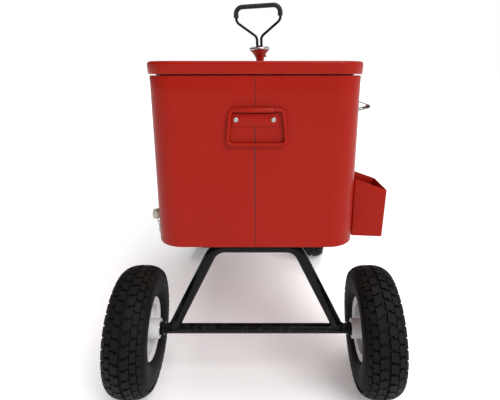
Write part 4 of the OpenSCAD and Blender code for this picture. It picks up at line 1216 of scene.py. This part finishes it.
def binShapes():
    b = capBin

    def ring(inset, z, skew):
        # rectangle in plan; the rim falls from back to front
        out = b["lowOut"] + (b["highOut"] - b["lowOut"]) * z / b["frontTall"]
        corners = roundedOutline(out - b["back"] - 2 * inset, b["length"] - 2 * inset,
                                 max(b["fold"] - inset, 0.0015), 4)
        points = []
        for x, y in corners:
            x += (out + b["back"]) / 2
            share = (x - b["back"]) / (out - b["back"])
            points.append(Vector((x, y, z + skew * (1 - share))))
        return points

    rise = b["backTall"] - b["frontTall"]
    lip = 0.0007
    levels = [(0.0016, 0.0, 0.0), (0.0004, 0.0005, 0.0), (0.0, 0.0018, 0.0)]
    levels += [(0.0, b["frontTall"] * k / 5, rise * k / 5) for k in range(1, 5)]
    levels += [(0.0, b["frontTall"] - lip, rise), (0.0003, b["frontTall"] - 0.0001, rise),
               (b["sheet"] / 2, b["frontTall"], rise),
               (b["sheet"] - 0.0003, b["frontTall"] - 0.0001, rise), (b["sheet"], b["frontTall"] - lip, rise)]
    levels += [(b["sheet"], b["frontTall"] * k / 5, rise * k / 5) for k in range(4, 0, -1)]
    levels += [(b["sheet"], 0.0030, 0.0), (b["sheet"] + 0.0012, 0.0014, 0.0),
               (b["sheet"] + 0.02, 0.0013, 0.0)]
    hooks = [slab((0.002, -0.024, 0.044), (0.0034, 0.024, 0.099)),
             slab((0.0034, -0.018, 0.044), (b["back"] + 0.0003, 0.018, 0.099))]
    return [loft([ring(*level) for level in levels])] + hooks


makePiece("cap-bin", binShapes(), looks["redPaint"], "bin", ("catch_bin",), place=binPlace,
          sharp=45)
softened("bin_hanger", "bin-hanger", looks["redPaint"], 0.0003)
softened("body_foam", "body-foam", looks["palefoam"], 0.0)
print("opener and bin made")

# Floor, soft light and camera

studio = {"seen": 1.0, "leftSide": 0.06, "rightSide": 0.60, "key": 1.9, "fill": 0.05, "top": 1.3,
          "spread": 0.6, "glow": 0.22}
floorMesh = bpy.data.meshes.new("floor")
reach = 30.0
floorMesh.from_pydata([(-reach, -reach, 0), (reach, -reach, 0), (reach, reach, 0), (-reach, reach, 0)], [],
                      [(0, 1, 2, 3)])
floor = bpy.data.objects.new("floor", floorMesh)
scene.collection.objects.link(floor)
paper = bpy.data.materials.new("paleFloor")
paper.use_nodes = True
paperTree = paper.node_tree
speckle = ramp(paperTree, noise(paperTree, 3.0, 3.0), 0.3, 0.7)
paperTree.links.new(mixed(paperTree, speckle, (0.94, 0.94, 0.94, 1), (0.97, 0.97, 0.97, 1)),
                    paperTree.nodes["Principled BSDF"].inputs["Base Color"])
paperTree.nodes["Principled BSDF"].inputs["Roughness"].default_value = 0.9
paperTree.nodes["Principled BSDF"].inputs["Emission Color"].default_value = (1, 1, 1, 1)
paperTree.nodes["Principled BSDF"].inputs["Emission Strength"].default_value = studio["glow"]
floorMesh.materials.append(paper)

world = bpy.data.worlds.new("studio")
scene.world = world
world.use_nodes = True
backdrop = world.node_tree
backdrop.nodes["Background"].inputs["Color"].default_value = (1, 1, 1, 1)
ray = backdrop.nodes.new("ShaderNodeLightPath")
facing = backdrop.nodes.new("ShaderNodeSeparateXYZ")
backdrop.links.new(backdrop.nodes.new("ShaderNodeTexCoord").outputs["Generated"], facing.inputs[0])
sides = ramp(backdrop, facing.outputs["X"], -0.8, 0.6, (studio["leftSide"], studio["rightSide"]))
shown = maths(backdrop, "MULTIPLY", ray.outputs["Is Camera Ray"], studio["seen"])
backdrop.links.new(maths(backdrop, "MAXIMUM", sides, shown), backdrop.nodes["Background"].inputs["Strength"])


def softLight(name, place, power):
    data = bpy.data.lights.new(name, "SUN")
    data.energy, data.angle = power, studio["spread"]
    light = bpy.data.objects.new(name, data)
    scene.collection.objects.link(light)
    light.location = place
    light.rotation_euler = (-Vector(place)).to_track_quat("-Z", "Y").to_euler()


softLight("keyLight", (1.7, -2.4, 2.6), studio["key"])
softLight("fillLight", (-2.2, -2.0, 1.6), studio["fill"])
softLight("topLight", (0.3, 0.4, 3.0), studio["top"])
scene.view_settings.view_transform = "Standard"

lens = {"place": (0.0188, -1.2310, 0.6854), "focal": 414.7, "down": 0.0913, "across": 264.4, "down0": 110.0,
        "width": 500, "height": 400, "sensor": 36.0}
cameraData = bpy.data.cameras.new("camera")
camera = bpy.data.objects.new("camera", cameraData)
scene.collection.objects.link(camera)
camera.location = lens["place"]
camera.rotation_euler = (math.pi / 2 - lens["down"], 0, 0)
cameraData.sensor_width = lens["sensor"]
cameraData.lens = lens["focal"] / lens["width"] * lens["sensor"]
cameraData.shift_x = (lens["width"] / 2 - lens["across"]) / lens["width"]
cameraData.shift_y = (lens["down0"] - lens["height"] / 2) / lens["width"]
cameraData.clip_start, cameraData.clip_end = 0.02, 60
scene.camera = camera
print("studio and camera ready")
